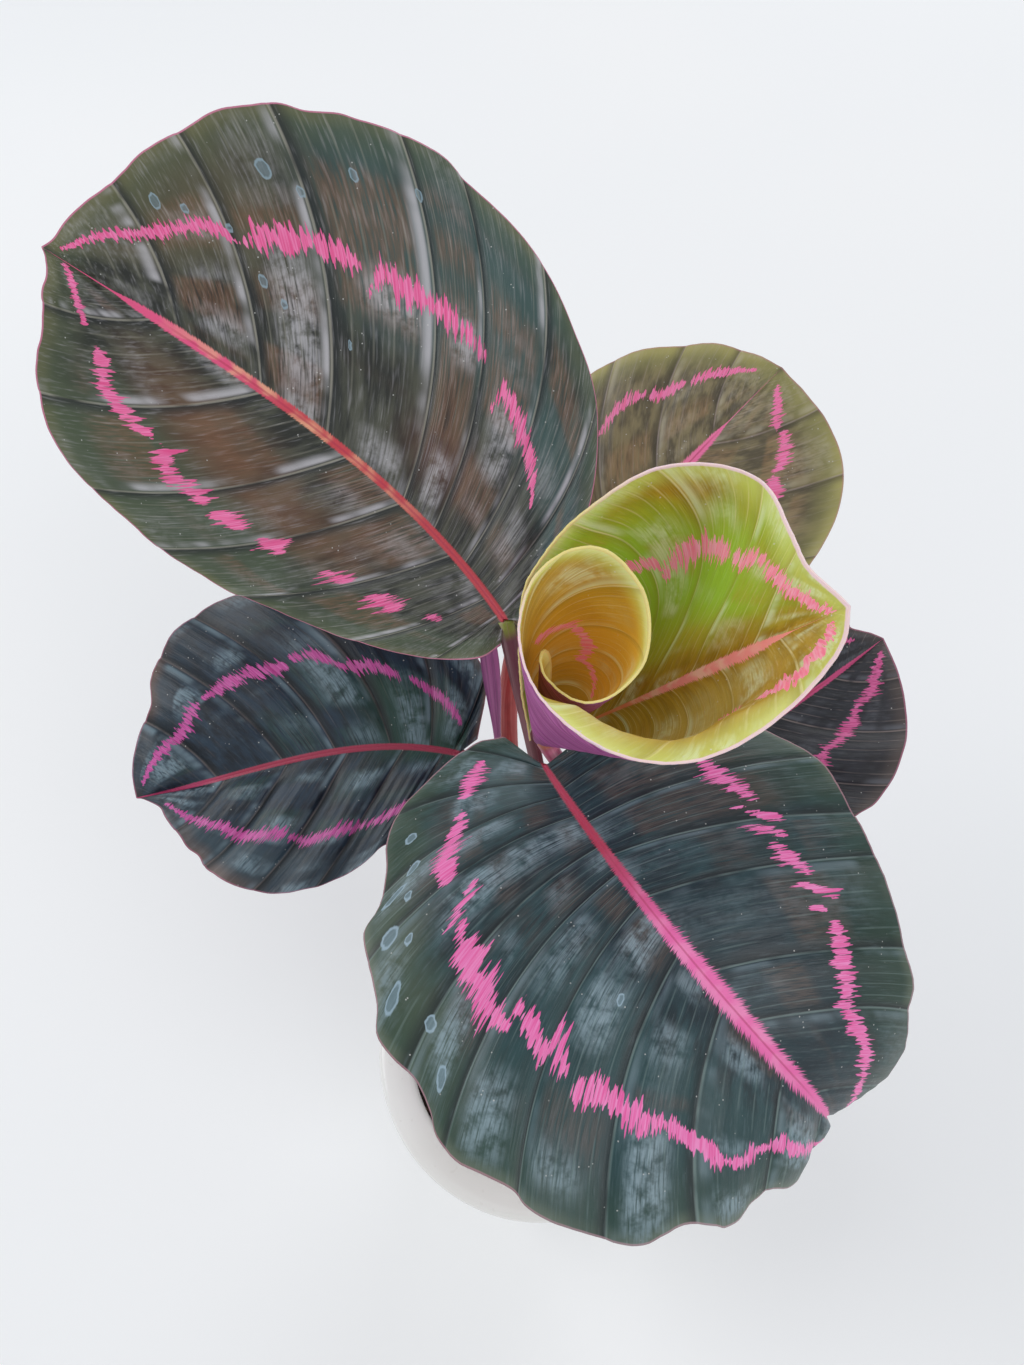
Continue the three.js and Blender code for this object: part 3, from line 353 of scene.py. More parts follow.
# %% The strokes of each ring
RINGS = {
    "a": dict(
        right=[
            [(0.97, 0.6, 0.7), (0.93, 0.66, 1.3), (0.895, 0.66, 1.7), (0.86, 0.645, 2.0),
             (0.82, 0.62, 2.4), (0.79, 0.625, 2.8), (0.768, 0.605, 2.4), (0.757, 0.565, 0.9)],
            [(0.75, 0.555, 1.8), (0.733, 0.585, 3.8), (0.70, 0.575, 3.9), (0.672, 0.58, 3.9),
             (0.65, 0.565, 3.9), (0.633, 0.565, 3.7), (0.618, 0.55, 1.6)],
            [(0.61, 0.48, 1.9), (0.6, 0.53, 4.1), (0.588, 0.555, 4.1), (0.547, 0.545, 4.4),
             (0.517, 0.54, 4.5), (0.49, 0.525, 4.3), (0.468, 0.515, 3.6), (0.437, 0.515, 2.2)],
            [(0.413, 0.41, 1.6), (0.405, 0.485, 3.8), (0.383, 0.475, 3.5), (0.35, 0.445, 3.6),
             (0.323, 0.415, 3.0), (0.295, 0.39, 2.0), (0.275, 0.345, 0.8)],
        ],
        left=[
            [(0.975, 0.2, 0.8), (0.955, 0.42, 1.2), (0.935, 0.53, 1.3), (0.902, 0.625, 1.3),
             (0.873, 0.67, 0.8)],
            [(0.84, 0.635, 2.0), (0.815, 0.64, 2.5), (0.785, 0.66, 3.2), (0.763, 0.655, 3.4),
             (0.743, 0.64, 3.2), (0.725, 0.61, 3.0), (0.715, 0.585, 1.4)],
            [(0.695, 0.56, 4.6), (0.667, 0.61, 2.9), (0.647, 0.61, 4.4), (0.623, 0.59, 5.2),
             (0.605, 0.61, 3.0)],
            [(0.587, 0.595, 3.6), (0.568, 0.595, 5.4), (0.552, 0.585, 2.8)],
            [(0.524, 0.55, 4.2), (0.51, 0.53, 6.0), (0.49, 0.545, 2.4)],
            [(0.434, 0.475, 3.0), (0.413, 0.465, 5.6), (0.39, 0.46, 3.0)],
            [(0.342, 0.455, 3.4), (0.315, 0.44, 6.0), (0.29, 0.44, 3.0)],
            [(0.245, 0.36, 2.4), (0.212, 0.38, 1.2)],
        ],
    ),
    "b": dict(
        left=[
            [(0.14, 0.45, 1.2), (0.23, 0.515, 2.2), (0.312, 0.54, 2.6), (0.36, 0.55, 1.6)],
            [(0.375, 0.55, 2.4), (0.478, 0.57, 3.0), (0.542, 0.615, 2.6), (0.585, 0.60, 1.4)],
            [(0.60, 0.59, 2.2), (0.63, 0.60, 3.0), (0.693, 0.66, 2.4), (0.777, 0.67, 2.0),
             (0.853, 0.74, 1.4), (0.92, 0.74, 0.8)],
        ],
        right=[
            [(0.15, 0.30, 1.0), (0.21, 0.325, 2.2), (0.30, 0.37, 2.4), (0.343, 0.395, 1.2)],
            [(0.37, 0.395, 2.6), (0.45, 0.43, 3.0), (0.522, 0.49, 3.2), (0.56, 0.50, 1.6)],
            [(0.58, 0.485, 2.6), (0.613, 0.505, 3.4), (0.703, 0.555, 3.0), (0.75, 0.58, 1.6)],
            [(0.77, 0.58, 2.2), (0.79, 0.585, 2.6), (0.888, 0.615, 1.8), (0.96, 0.58, 0.8)],
        ],
    ),
    "c": dict(
        right=[
            [(0.12, 0.64, 1.2), (0.133, 0.62, 1.9), (0.175, 0.575, 3.6), (0.212, 0.54, 1.8)],
            [(0.24, 0.54, 1.5), (0.268, 0.57, 4.1), (0.305, 0.58, 4.9), (0.34, 0.575, 2.6)],
            [(0.362, 0.475, 1.7), (0.375, 0.535, 4.8), (0.39, 0.59, 3.6)],
            [(0.398, 0.555, 1.9), (0.417, 0.595, 5.6), (0.44, 0.62, 5.7), (0.465, 0.62, 5.6),
             (0.487, 0.61, 4.6), (0.503, 0.61, 3.0)],
            [(0.506, 0.545, 2.8), (0.517, 0.56, 5.2), (0.528, 0.575, 2.4)],
            [(0.534, 0.61, 3.6), (0.545, 0.61, 4.6), (0.549, 0.58, 4.0)],
            [(0.551, 0.53, 5.6), (0.56, 0.555, 6.4), (0.575, 0.60, 2.2)],
            [(0.588, 0.635, 3.2), (0.598, 0.615, 4.0), (0.615, 0.595, 3.4), (0.626, 0.59, 2.4)],
            [(0.630, 0.585, 3.2), (0.645, 0.6, 4.2), (0.662, 0.61, 3.7), (0.679, 0.60, 2.2)],
            [(0.682, 0.605, 1.7), (0.698, 0.635, 2.5), (0.715, 0.67, 2.9), (0.738, 0.675, 3.3),
             (0.748, 0.685, 1.3)],
            [(0.753, 0.68, 1.3), (0.77, 0.67, 2.5), (0.794, 0.62, 2.4)],
            [(0.798, 0.61, 1.4), (0.823, 0.59, 2.0), (0.873, 0.55, 2.3), (0.915, 0.64, 1.6),
             (0.955, 0.70, 0.8)],
        ],
        left=[
            [(0.16, 0.52, 1.6), (0.24, 0.545, 3.4), (0.33, 0.57, 1.6)],
            [(0.338, 0.57, 1.8), (0.372, 0.56, 3.8), (0.403, 0.575, 3.5), (0.432, 0.605, 2.0)],
            [(0.441, 0.53, 2.8), (0.450, 0.61, 4.4), (0.461, 0.66, 1.8)],
            [(0.468, 0.53, 3.0), (0.485, 0.57, 4.6), (0.502, 0.64, 2.0)],
            [(0.513, 0.585, 2.4), (0.542, 0.625, 4.0), (0.562, 0.66, 2.0)],
            [(0.578, 0.60, 2.2), (0.592, 0.665, 4.2), (0.603, 0.71, 1.6)],
            [(0.612, 0.60, 2.8), (0.624, 0.635, 2.2)],
            [(0.638, 0.66, 2.1), (0.662, 0.655, 2.7), (0.685, 0.64, 3.0), (0.715, 0.605, 3.4),
             (0.741, 0.595, 2.8)],
            [(0.745, 0.56, 3.4), (0.77, 0.585, 3.3), (0.805, 0.575, 3.2), (0.83, 0.575, 2.9),
             (0.875, 0.555, 2.6), (0.907, 0.545, 1.8), (0.945, 0.56, 0.8)],
        ],
    ),
    "d": dict(
        left=[
            [(0.15, 0.50, 1.2), (0.28, 0.54, 2.6), (0.40, 0.57, 1.4)],
            [(0.43, 0.56, 2.4), (0.52, 0.60, 3.0), (0.585, 0.62, 1.4)],
            [(0.595, 0.605, 2.2), (0.625, 0.67, 2.8), (0.657, 0.705, 2.6), (0.69, 0.705, 1.2)],
            [(0.70, 0.685, 2.2), (0.743, 0.675, 2.6), (0.77, 0.69, 1.2)],
            [(0.785, 0.69, 2.0), (0.828, 0.72, 2.0), (0.88, 0.745, 1.2), (0.93, 0.70, 0.7)],
        ],
        right=[
            [(0.20, 0.42, 1.2), (0.34, 0.50, 2.8), (0.44, 0.56, 1.6)],
            [(0.46, 0.54, 2.4), (0.56, 0.60, 3.2), (0.65, 0.63, 2.0)],
            [(0.665, 0.64, 2.4), (0.705, 0.65, 3.0), (0.738, 0.62, 1.6)],
            [(0.75, 0.64, 2.4), (0.763, 0.665, 2.8), (0.795, 0.685, 2.4), (0.833, 0.67, 1.6)],
            [(0.845, 0.62, 1.8), (0.868, 0.605, 2.2), (0.902, 0.63, 1.6), (0.955, 0.56, 0.8)],
        ],
    ),
    "e": dict(
        left=[
            [(0.15, 0.42, 1.0), (0.30, 0.50, 2.2), (0.42, 0.54, 1.2)],
            [(0.44, 0.53, 2.0), (0.56, 0.57, 2.4), (0.66, 0.60, 1.2)],
            [(0.68, 0.59, 1.8), (0.80, 0.62, 2.0), (0.92, 0.66, 0.9)],
        ],
        right=[
            [(0.15, 0.42, 1.0), (0.30, 0.50, 2.2), (0.46, 0.54, 1.2)],
            [(0.48, 0.53, 2.0), (0.56, 0.55, 2.4), (0.613, 0.545, 2.6), (0.65, 0.52, 1.4)],
            [(0.66, 0.515, 2.2), (0.708, 0.555, 2.6), (0.755, 0.575, 2.0), (0.80, 0.545, 1.2)],
            [(0.81, 0.55, 1.8), (0.843, 0.635, 2.2), (0.893, 0.635, 1.8), (0.95, 0.67, 1.0)],
        ],
    ),
    "f": dict(
        left=[
            [(0.105, 0.70, 1.0), (0.16, 0.72, 1.8), (0.21, 0.71, 1.4)],
            [(0.24, 0.70, 1.4), (0.285, 0.70, 2.0), (0.34, 0.67, 1.4)],
            [(0.38, 0.66, 1.6), (0.43, 0.64, 2.0), (0.465, 0.63, 1.2)],
            [(0.478, 0.62, 2.0), (0.50, 0.61, 2.6), (0.524, 0.60, 1.4)],
            [(0.53, 0.545, 2.2), (0.56, 0.60, 2.8), (0.595, 0.63, 2.6), (0.633, 0.65, 2.4),
             (0.678, 0.667, 2.4), (0.70, 0.67, 1.2)],
            [(0.71, 0.68, 1.8), (0.74, 0.69, 2.2), (0.775, 0.74, 1.6), (0.80, 0.765, 0.8)],
            [(0.81, 0.75, 1.2), (0.837, 0.743, 1.7), (0.875, 0.703, 1.7), (0.922, 0.603, 1.4),
             (0.963, 0.397, 1.0), (0.98, 0.10, 0.6)],
        ],
        right=[
            [(0.965, 0.45, 0.9), (0.955, 0.58, 1.2), (0.933, 0.60, 1.5), (0.918, 0.67, 1.7),
             (0.903, 0.64, 1.8), (0.887, 0.607, 1.8), (0.873, 0.573, 1.4), (0.866, 0.53, 0.8)],
            [(0.83, 0.42, 1.4), (0.80, 0.36, 2.0), (0.775, 0.34, 2.0), (0.758, 0.40, 1.6),
             (0.713, 0.433, 1.2), (0.68, 0.45, 0.7)],
            [(0.39, 0.645, 1.6), (0.372, 0.663, 3.0), (0.352, 0.700, 3.2), (0.335, 0.705, 1.6)],
            [(0.33, 0.70, 1.8), (0.30, 0.70, 2.4), (0.27, 0.69, 2.4), (0.24, 0.655, 2.0),
             (0.213, 0.625, 1.8), (0.155, 0.635, 1.8), (0.108, 0.66, 1.0)],
        ],
    ),
}
print("ring strokes:", {letter: len(ring["left"]) + len(ring["right"]) for letter, ring in RINGS.items()})

# %% How far each place is from the nearest stroke, where 1 is the stroke's own edge
FAR = 3.0
PAST_END = 220

def ring_distance(strokes, station, reach, vein_length):
    nearest = np.full(station.shape, FAR)
    for stroke in strokes:
        stations, reaches, halves = np.array(sorted(stroke)).T
        middle = np.interp(station, stations, reaches)
        half = np.interp(station, stations, halves)
        away = np.abs(reach - middle) * vein_length / half
        beyond = np.maximum(np.maximum(stations[0] - station, station - stations[-1]), 0)
        nearest = np.minimum(nearest, away + beyond * PAST_END)
    return nearest

# %% Dried water marks: station, signed reach (left below 0) and half width in mm
SPOTS = {
    "a": [(0.83, 0.78, 2.0), (0.80, 0.70, 1.4), (0.70, 0.80, 2.4), (0.67, 0.73, 1.6), (0.60, 0.82, 1.8),
          (0.74, 0.42, 1.7), (0.72, 0.35, 1.4), (0.52, 0.84, 1.6), (0.76, 0.62, 1.3), (0.64, 0.30, 1.3)],
    "c": [(0.30, 0.86, 3.2), (0.34, 0.88, 2.6), (0.27, 0.80, 1.9), (0.39, 0.90, 2.8), (0.24, 0.84, 1.6),
          (0.43, 0.84, 1.6), (0.46, 0.90, 2.2), (0.32, 0.76, 1.3), (0.60, 0.30, 1.4), (0.36, 0.80, 1.4)],
}

SPOT_STRETCH = 1.25

def spot_distance(letter, station, signed_reach, length, rim_length):
    nearest = np.full(station.shape, FAR)
    for spot_station, spot_reach, half in SPOTS.get(letter, []):
        across = (signed_reach - spot_reach) * length / (SPOT_STRETCH * half)
        beside = (station - spot_station) * rim_length / half
        nearest = np.minimum(nearest, np.hypot(across, beside))
    return nearest

# %% Half the width of the coloured midrib, in mm along the veins, against the distance along the leaf
RIB_WIDTHS = {
    "a": [(0.0, 1.1), (0.3, 1.3), (0.6, 1.8), (0.75, 2.0), (0.82, 1.4), (0.87, 0.3), (1.0, 0.01)],
    "b": [(0.0, 1.0), (0.4, 1.2), (0.8, 1.0), (0.97, 0.5), (1.0, 0.3)],
    "c": [(0.0, 0.9), (0.2, 1.3), (0.34, 2.0), (0.5, 2.9), (0.7, 2.7), (0.85, 1.6), (0.93, 0.5),
          (0.96, 0.05), (1.0, 0.01)],
    "d": [(0.0, 1.2), (0.3, 2.2), (0.6, 2.8), (0.74, 1.6), (0.80, 0.2), (1.0, 0.01)],
    "e": [(0.0, 1.0), (0.4, 1.4), (0.8, 1.0), (0.95, 0.3), (1.0, 0.01)],
    "f": [(0.0, 0.5), (0.3, 0.9), (0.6, 1.9), (0.74, 1.7), (0.82, 0.7), (0.87, 0.05), (1.0, 0.01)],
}

# %% [markdown]
# ## From numbers to a mesh
# A blade is a closed thin solid: an upper face, a lower face with the midrib standing out under it, and the
# narrow edge between them. The mesh also carries what the finish needs to know at every point: which pleat
# it is in, how far it is from the ring, the midrib and the edge. Blender calls such values attributes.

# %% Make a mesh object from corners and faces
def mesh_object(name, corners, faces, face_kinds=None, attributes=None):
    mesh = bpy.data.meshes.new(name)
    mesh.from_pydata((np.asarray(corners) * MM).tolist(), [], [list(map(int, face)) for face in faces])
    for key, values in (attributes or {}).items():
        layer = mesh.attributes.new(key, "FLOAT_VECTOR", "POINT")
        layer.data.foreach_set("vector", np.asarray(values, np.float32).ravel())
    if face_kinds is not None:
        mesh.polygons.foreach_set("material_index", np.asarray(face_kinds, np.int32))
    mesh.polygons.foreach_set("use_smooth", np.ones(len(mesh.polygons), bool))
    mesh.update()
    piece = bpy.data.objects.new(name, mesh)
    bpy.context.scene.collection.objects.link(piece)
    return piece

def close_up(piece, distance=2e-6):
    shape = bmesh.new()
    shape.from_mesh(piece.data)
    bmesh.ops.remove_doubles(shape, verts=shape.verts, dist=distance)
    bmesh.ops.dissolve_degenerate(shape, edges=shape.edges, dist=1e-7)
    bmesh.ops.recalc_face_normals(shape, faces=shape.faces)
    shape.to_mesh(piece.data)
    shape.free()

# %% The faces between rings of corners, and what a finished piece stands for
def tube_faces(rings, sides, start=0):
    faces = []
    for ring in range(rings - 1):
        for side in range(sides):
            here = start + ring * sides + side
            beside = start + ring * sides + (side + 1) % sides
            faces.append((here, beside, beside + sides, here + sides))
    return faces

def hand_over(piece, node, slot, *skins):
    for skin in skins:
        piece.data.materials.append(skin)
    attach(piece, "root")
    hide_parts(node)

# %% Measure a blade at every crossing of a row and a column
def blade_grid(leaf, surface, rows, columns):
    reach_left, reach_right = columns
    reach = np.concatenate([reach_left[::-1], [0.0], reach_right])
    side = np.concatenate([-np.ones(len(reach_left)), np.ones(len(reach_right) + 1)])
    station = np.linspace(0, 1, rows + 1)
    station, reach = np.meshgrid(station, reach, indexing="ij")
    side = np.broadcast_to(side, station.shape)
    halves = {half: vein_places(leaf, half, station, reach) for half in ("left", "right")}
    flat = np.where((side < 0)[..., None], halves["left"], halves["right"])
    x = side * flat[..., 0]
    y = flat[..., 1]
    return dict(station=station, reach=reach, side=side, x=x, y=y, place=surface(x, y))

def blade_up(surface, grid):
    nudge = 0.2

    def square(side):
        x = side * np.maximum(np.abs(grid["x"]), nudge)
        along_x = surface(x + nudge, grid["y"]) - surface(x - nudge, grid["y"])
        along_y = surface(x, grid["y"] + nudge) - surface(x, grid["y"] - nudge)
        return unit(np.cross(along_x, along_y))

    up = square(grid["side"])
    both = unit(up + square(-grid["side"]))
    return np.where((grid["reach"] == 0)[..., None], both, up)

# %% Bend the front rim of the rolled blade outward, by pressing the wall in just below it
FLARE_DEPTH = 4.2

def rim_flare(turned, edge):
    front = smooth_step(8, 35, turned) * smooth_step(128, 98, turned)
    return FLARE_DEPTH * front * smooth_step(0, 7.5, edge) * (1 - smooth_step(9, 30, edge))

# %% The lengths of the veins, and where the columns of the mesh lie along them
def vein_lengths(grid):
    steps = np.linalg.norm(np.diff(grid["place"], axis=1), axis=-1)
    middle = np.argmin(grid["reach"][0])
    left = steps[:, :middle].sum(1)[:, None]
    right = steps[:, middle:].sum(1)[:, None]
    return np.maximum(np.where(grid["side"] < 0, left, right), 0.05)

def reach_columns(count):
    near = [0.004, 0.009, 0.015, 0.022, 0.030]
    return np.concatenate([near, np.linspace(0.04, 0.985, count), [0.994, 1.0]])

# %% The pleats of a blade, and on an open one the soft bumps and the cord of the midrib with its groove
BUMP_HEIGHT = 0.35
CORD_HALF, CORD_RISE = 1.5, 0.5
GROOVE_HALF, GROOVE_DEPTH = 0.45, 0.25

def blade_relief(grid, length, pleats, height, random, keeled):
    station, reach = grid["station"], grid["reach"]
    rows = len(station) - 1
    relief = 0 * station
    numbers = 0 * station
    for half, sign in (("left", -1), ("right", 1)):
        vein_rows = main_vein_rows(rows, pleats[half], random)
        half_numbers = np.broadcast_to(pleat_numbers(rows, vein_rows)[:, None], station.shape)
        heights = height[half] * random.uniform(0.55, 1.35, pleats[half])
        here = grid["side"] == sign
        numbers = np.where(here, half_numbers, numbers)
        relief = np.where(here, pleat_relief(half_numbers, reach, heights), relief)
    relief *= smooth_step(0, 0.08, station) * smooth_step(0, 0.06, 1 - station)
    if not keeled:
        return numbers, relief + rim_flare(grid["x"], (1 - reach) * length)
    bumps = soft_bumps(grid["x"], grid["y"], random, BUMP_HEIGHT)
    relief += bumps * smooth_step(0.0, 0.3, reach) * smooth_step(0, 0.1, 1 - station)
    fade = (1 - station)**0.5
    cord = np.clip(1 - np.abs(grid["x"]) / CORD_HALF, 0, 1)
    relief += CORD_RISE * np.sin(cord * math.pi / 2)**2 * fade
    relief -= GROOVE_DEPTH * np.clip(1 - np.abs(grid["x"]) / GROOVE_HALF, 0, 1) * fade
    return numbers, relief

# %% What the finish needs to know at every place
RIB_FAR, EDGE_FAR = 20, 40
RIM_RUN = 2.1

def blade_marks(letter, leaf, grid, length, numbers):
    station, reach, side = grid["station"], grid["reach"], grid["side"]
    along = station**2
    left, right = [ring_distance(RINGS[letter][half], station, reach, length) for half in ("left", "right")]
    rib_places, rib_halves = np.array(RIB_WIDTHS[letter]).T
    rib = reach * length / np.interp(along, rib_places, rib_halves)
    edge = (1 - reach) * length
    run = leaf["length"] - leaf.get("base", 0)
    spot = spot_distance(letter, station, reach * side, length, RIM_RUN * run)
    return dict(
        veins=np.stack([numbers, reach * side, station], -1),
        marks=np.stack([np.where(side < 0, left, right), np.minimum(rib, RIB_FAR),
                        np.minimum(edge, EDGE_FAR)], -1),
        middle=np.stack([np.abs(grid["x"]), along, spot], -1),
    )

# %% The faces of a thin sheet: the upper face is kind 0, the under face is kind 1
def sheet_faces(shape):
    count = shape[0] * shape[1]
    index = np.arange(count).reshape(shape)
    upper = np.stack([index[:-1, :-1], index[:-1, 1:], index[1:, 1:], index[1:, :-1]], -1).reshape(-1, 4)
    faces = [upper, upper[:, ::-1] + count]
    for border in (index[:, 0][::-1], index[:, -1], index[0, :]):
        faces.append(np.stack([border[:-1], border[:-1] + count, border[1:] + count, border[1:]], -1))
    kinds = np.repeat([0, 1, 0], [len(upper), len(upper), sum(map(len, faces[2:]))])
    return np.concatenate(faces), kinds

# %% Build a blade
KEEL_HALF = 2.0

def build_blade(letter, leaf, surface, rows, columns, pleats, height, thickness, keel, seed):
    random = np.random.default_rng(seed)
    grid = blade_grid(leaf, surface, rows, columns)
    up = blade_up(surface, grid)
    station, reach = grid["station"], grid["reach"]
    length = vein_lengths(grid)
    numbers, relief = blade_relief(grid, length, pleats, height, random, keel > 0)
    wave = leaf["wave_height"] * reach**2 * np.sin(2 * math.pi * leaf["waves"] * station)
    wave *= np.minimum(1, 5 * (1 - station))
    upper = grid["place"] + up * (wave + relief)[..., None]
    rib = keel * (1 - station) * np.clip(1 - np.abs(grid["x"]) / KEEL_HALF, 0, 1)**0.8
    lower = upper - up * (thickness + rib)[..., None]
    faces, kinds = sheet_faces(station.shape)
    corners = np.concatenate([upper.reshape(-1, 3), lower.reshape(-1, 3)])
    marks = blade_marks(letter, leaf, grid, length, numbers)
    attributes = {key: np.tile(values.reshape(-1, 3), (2, 1)) for key, values in marks.items()}
    piece = mesh_object(f"leaf_{letter}", corners, faces, kinds, attributes)
    close_up(piece)
    print(piece.name, "rows", rows, "columns", station.shape[1], "faces", len(piece.data.polygons))
    return piece

# %% [markdown]
# ## Finishes from nodes
# Every finish is a small network of nodes. A few short helpers keep the networks readable: one does a
# sum, two multiply and add up lists, one blends two colours, one lays a colour over another, one draws
# noise, and one turns a number into a soft step.

# %% Helpers for networks of nodes
def colour(code):
    parts = [int(code[start:start + 2], 16) / 255 for start in (1, 3, 5)]
    linear = [part / 12.92 if part <= 0.04045 else ((part + 0.055) / 1.055)**2.4 for part in parts]
    return (*linear, 1.0)

class Network:
    def __init__(self, name):
        self.material = bpy.data.materials.new(name)
        self.material.use_nodes = True
        self.tree = self.material.node_tree
        self.shader = self.tree.nodes["Principled BSDF"]

    def feed(self, socket, value):
        if isinstance(value, bpy.types.NodeSocket):
            self.tree.links.new(value, socket)
        else:
            socket.default_value = value

    def sum(self, operation, first, second=0.0):
        node = self.tree.nodes.new("ShaderNodeMath")
        node.operation = operation
        self.feed(node.inputs[0], first)
        self.feed(node.inputs[1], second)
        return node.outputs[0]

    def times(self, first, *others):
        for other in others:
            first = self.sum("MULTIPLY", first, other)
        return first

    def plus(self, first, *others):
        for other in others:
            first = self.sum("ADD", first, other)
        return first

    def blend(self, factor, first, second):
        node = self.tree.nodes.new("ShaderNodeMix")
        node.data_type = "RGBA"
        node.clamp_factor = True
        self.feed(node.inputs[0], factor)
        self.feed(node.inputs[6], first)
        self.feed(node.inputs[7], second)
        return node.outputs[2]

    def over(self, base, coat, *amounts):
        return self.blend(self.times(*amounts), base, coat)

    def step(self, value, low, high):
        node = self.tree.nodes.new("ShaderNodeMapRange")
        node.interpolation_type = "SMOOTHSTEP"
        flipped = low > high
        self.feed(node.inputs["Value"], value)
        node.inputs["From Min"].default_value = min(low, high)
        node.inputs["From Max"].default_value = max(low, high)
        node.inputs["To Min"].default_value = 1.0 if flipped else 0.0
        node.inputs["To Max"].default_value = 0.0 if flipped else 1.0
        return node.outputs["Result"]

    def noise(self, vector, scale=1.0, detail=2.0, roughness=0.5):
        node = self.tree.nodes.new("ShaderNodeTexNoise")
        self.feed(node.inputs["Vector"], vector)
        node.inputs["Scale"].default_value = scale
        node.inputs["Detail"].default_value = detail
        node.inputs["Roughness"].default_value = roughness
        return node.outputs["Fac"]

    def cells(self, vector, scale):
        node = self.tree.nodes.new("ShaderNodeTexVoronoi")
        self.feed(node.inputs["Vector"], vector)
        node.inputs["Scale"].default_value = scale
        return node.outputs["Distance"]

    def vector(self, x, y, z=0.0):
        node = self.tree.nodes.new("ShaderNodeCombineXYZ")
        for socket, value in zip(node.inputs, (x, y, z)):
            self.feed(socket, value)
        return node.outputs[0]

    def attribute(self, name):
        node = self.tree.nodes.new("ShaderNodeAttribute")
        node.attribute_name = name
        parts = self.tree.nodes.new("ShaderNodeSeparateXYZ")
        self.feed(parts.inputs[0], node.outputs["Vector"])
        return list(parts.outputs)

    def place(self):
        return self.tree.nodes.new("ShaderNodeTexCoord").outputs["Object"]

    def bump(self, height, strength, distance):
        node = self.tree.nodes.new("ShaderNodeBump")
        node.inputs["Strength"].default_value = strength
        node.inputs["Distance"].default_value = distance
        self.feed(node.inputs["Height"], height)
        return node.outputs["Normal"]

    def set(self, **sockets):
        for name, value in sockets.items():
            self.feed(self.shader.inputs[name.replace("_", " ")], value)

# %% [markdown]
# ## The upper face of a leaf
# From far the leaf is nearly black, but close up it has five layers. A dark ground has streaks along the
# veins and wide patches of bronze or teal, and painted shade in the valley beside each main vein. Outside
# the ring it turns greener. A painted grey sheen lies on one flank of each pleat, with a painted highlight
# on the shoulder by each main vein. Thin pale veins run through it, with dust and dried water marks on top.
# The ring, the midrib and the hairline edge are the last layer, all of them in pink.

# %% Places on the leaf for streaks, pleats, veins and zones
def streaks(net, veins, per_pleat, along, seed, detail=2.0):
    number, reach = veins[:2]
    place = net.vector(net.times(number, per_pleat), net.times(reach, along), seed)
    return net.noise(place, detail=detail, roughness=0.55)

def pleat_patch(net, veins, along, seed, low, high):
    number, reach = veins[:2]
    whole = net.times(net.sum("FLOOR", number), 3.7)
    place = net.vector(whole, net.times(reach, along), net.plus(reach, seed))
    return net.step(net.noise(place, detail=1.0), low, high)

def from_vein(net, number):
    off_middle = net.sum("ABSOLUTE", net.sum("SUBTRACT", net.sum("FRACT", number), 0.5))
    return net.sum("SUBTRACT", 0.5, off_middle)

def zone_mask(net, veins, zone):
    reach, station = veins[1:]
    low, high, inner, outer = zone
    return net.times(
        net.step(station, low - 0.1, low + 0.08), net.step(station, high + 0.08, high - 0.1),
        net.step(reach, inner - 0.12, inner + 0.12), net.step(reach, outer + 0.12, outer - 0.12))

# %% The ground colours of an upper face
def ground_colours(net, look, veins, edge):
    seed, wide = look["seed"], look["outer_width"]
    part = net.sum("FRACT", veins[0])
    coarse = streaks(net, veins, 6.0, 5.0, seed, 3.0)
    fine = streaks(net, veins, 34.0, 9.0, seed + 3)
    clouds = net.noise(net.place(), scale=look["patch_scale"], detail=3.0)
    base = net.blend(net.step(coarse, 0.36, 0.64), look["dark"], look["mid"])
    for code, amount, zone in look["zones"]:
        base = net.over(base, colour(code), zone_mask(net, veins, zone), net.step(clouds, 0.28, 0.52),
                        amount)
    base = net.over(
        base, look["patch"], pleat_patch(net, veins, 4.2, seed + 1, 0.47, 0.60), net.step(part, 0.04, 0.2),
        net.step(part, 0.98, 0.8), net.step(edge, wide * 0.5, wide * 1.3), net.step(fine, 0.25, 0.62),
        look["patch_amount"])
    base = net.over(base, look["outer"], net.step(edge, wide, wide * 0.15), look["outer_amount"])
    base = net.over(base, look["rim"], net.step(edge, look["rim_width"], 0.0), net.step(clouds, 0.35, 0.6),
                    look["rim_amount"])
    # painted shade: the valley on one side of each main vein is darkened
    base = net.over(base, look["valley_shade"], net.step(part, 0.84, 0.99), look["shade"])
    # painted sheen: fine pale streaks along the veins in the sheen colour
    base = net.over(base, look["painted_sheen"], net.step(fine, 0.5, 0.8), look["fine_sheen_amount"])
    return base, coarse, fine

# %% Painted sheen and veins
def add_painted_sheen_and_veins(net, look, base, veins, fine):
    number, seed = veins[0], look["seed"]
    part = net.sum("FRACT", number)
    mottle = net.noise(net.place(), scale=260.0, detail=3.0, roughness=0.6)
    here = net.times(zone_mask(net, veins, look["painted_sheen_zone"]), 1 - look["painted_sheen_rest"])
    # painted sheen: pale grey-blue patches on one flank of each pleat, standing in for reflected light
    base = net.over(
        base, look["painted_sheen"], pleat_patch(net, veins, look["painted_sheen_length"], seed + 14, 0.46, 0.62),
        net.step(part, 0.06, 0.24), net.step(part, 0.82, 0.5), net.step(fine, 0.22, 0.6),
        net.step(mottle, 0.25, 0.62), net.plus(here, look["painted_sheen_rest"]), look["painted_sheen_amount"])
    faint = streaks(net, veins, 0.7, 4.0, seed + 9)
    # painted highlight: a thin pale line in the sheen colour on the shoulder beside each main vein
    base = net.over(base, look["painted_sheen"], net.step(part, 0.012, 0.05), net.step(part, 0.17, 0.06),
                    net.step(faint, 0.40, 0.62), look["shoulder_highlight_amount"])
    main = net.step(from_vein(net, number), 0.022, 0.006)
    base = net.over(base, look["vein"], main, net.step(faint, 0.25, 0.5), look["vein_amount"])
    minor = net.step(from_vein(net, net.times(number, 5.0)), 0.075, 0.02)
    return net.over(base, look["vein"], minor, net.step(faint, 0.38, 0.58), look["minor_amount"])

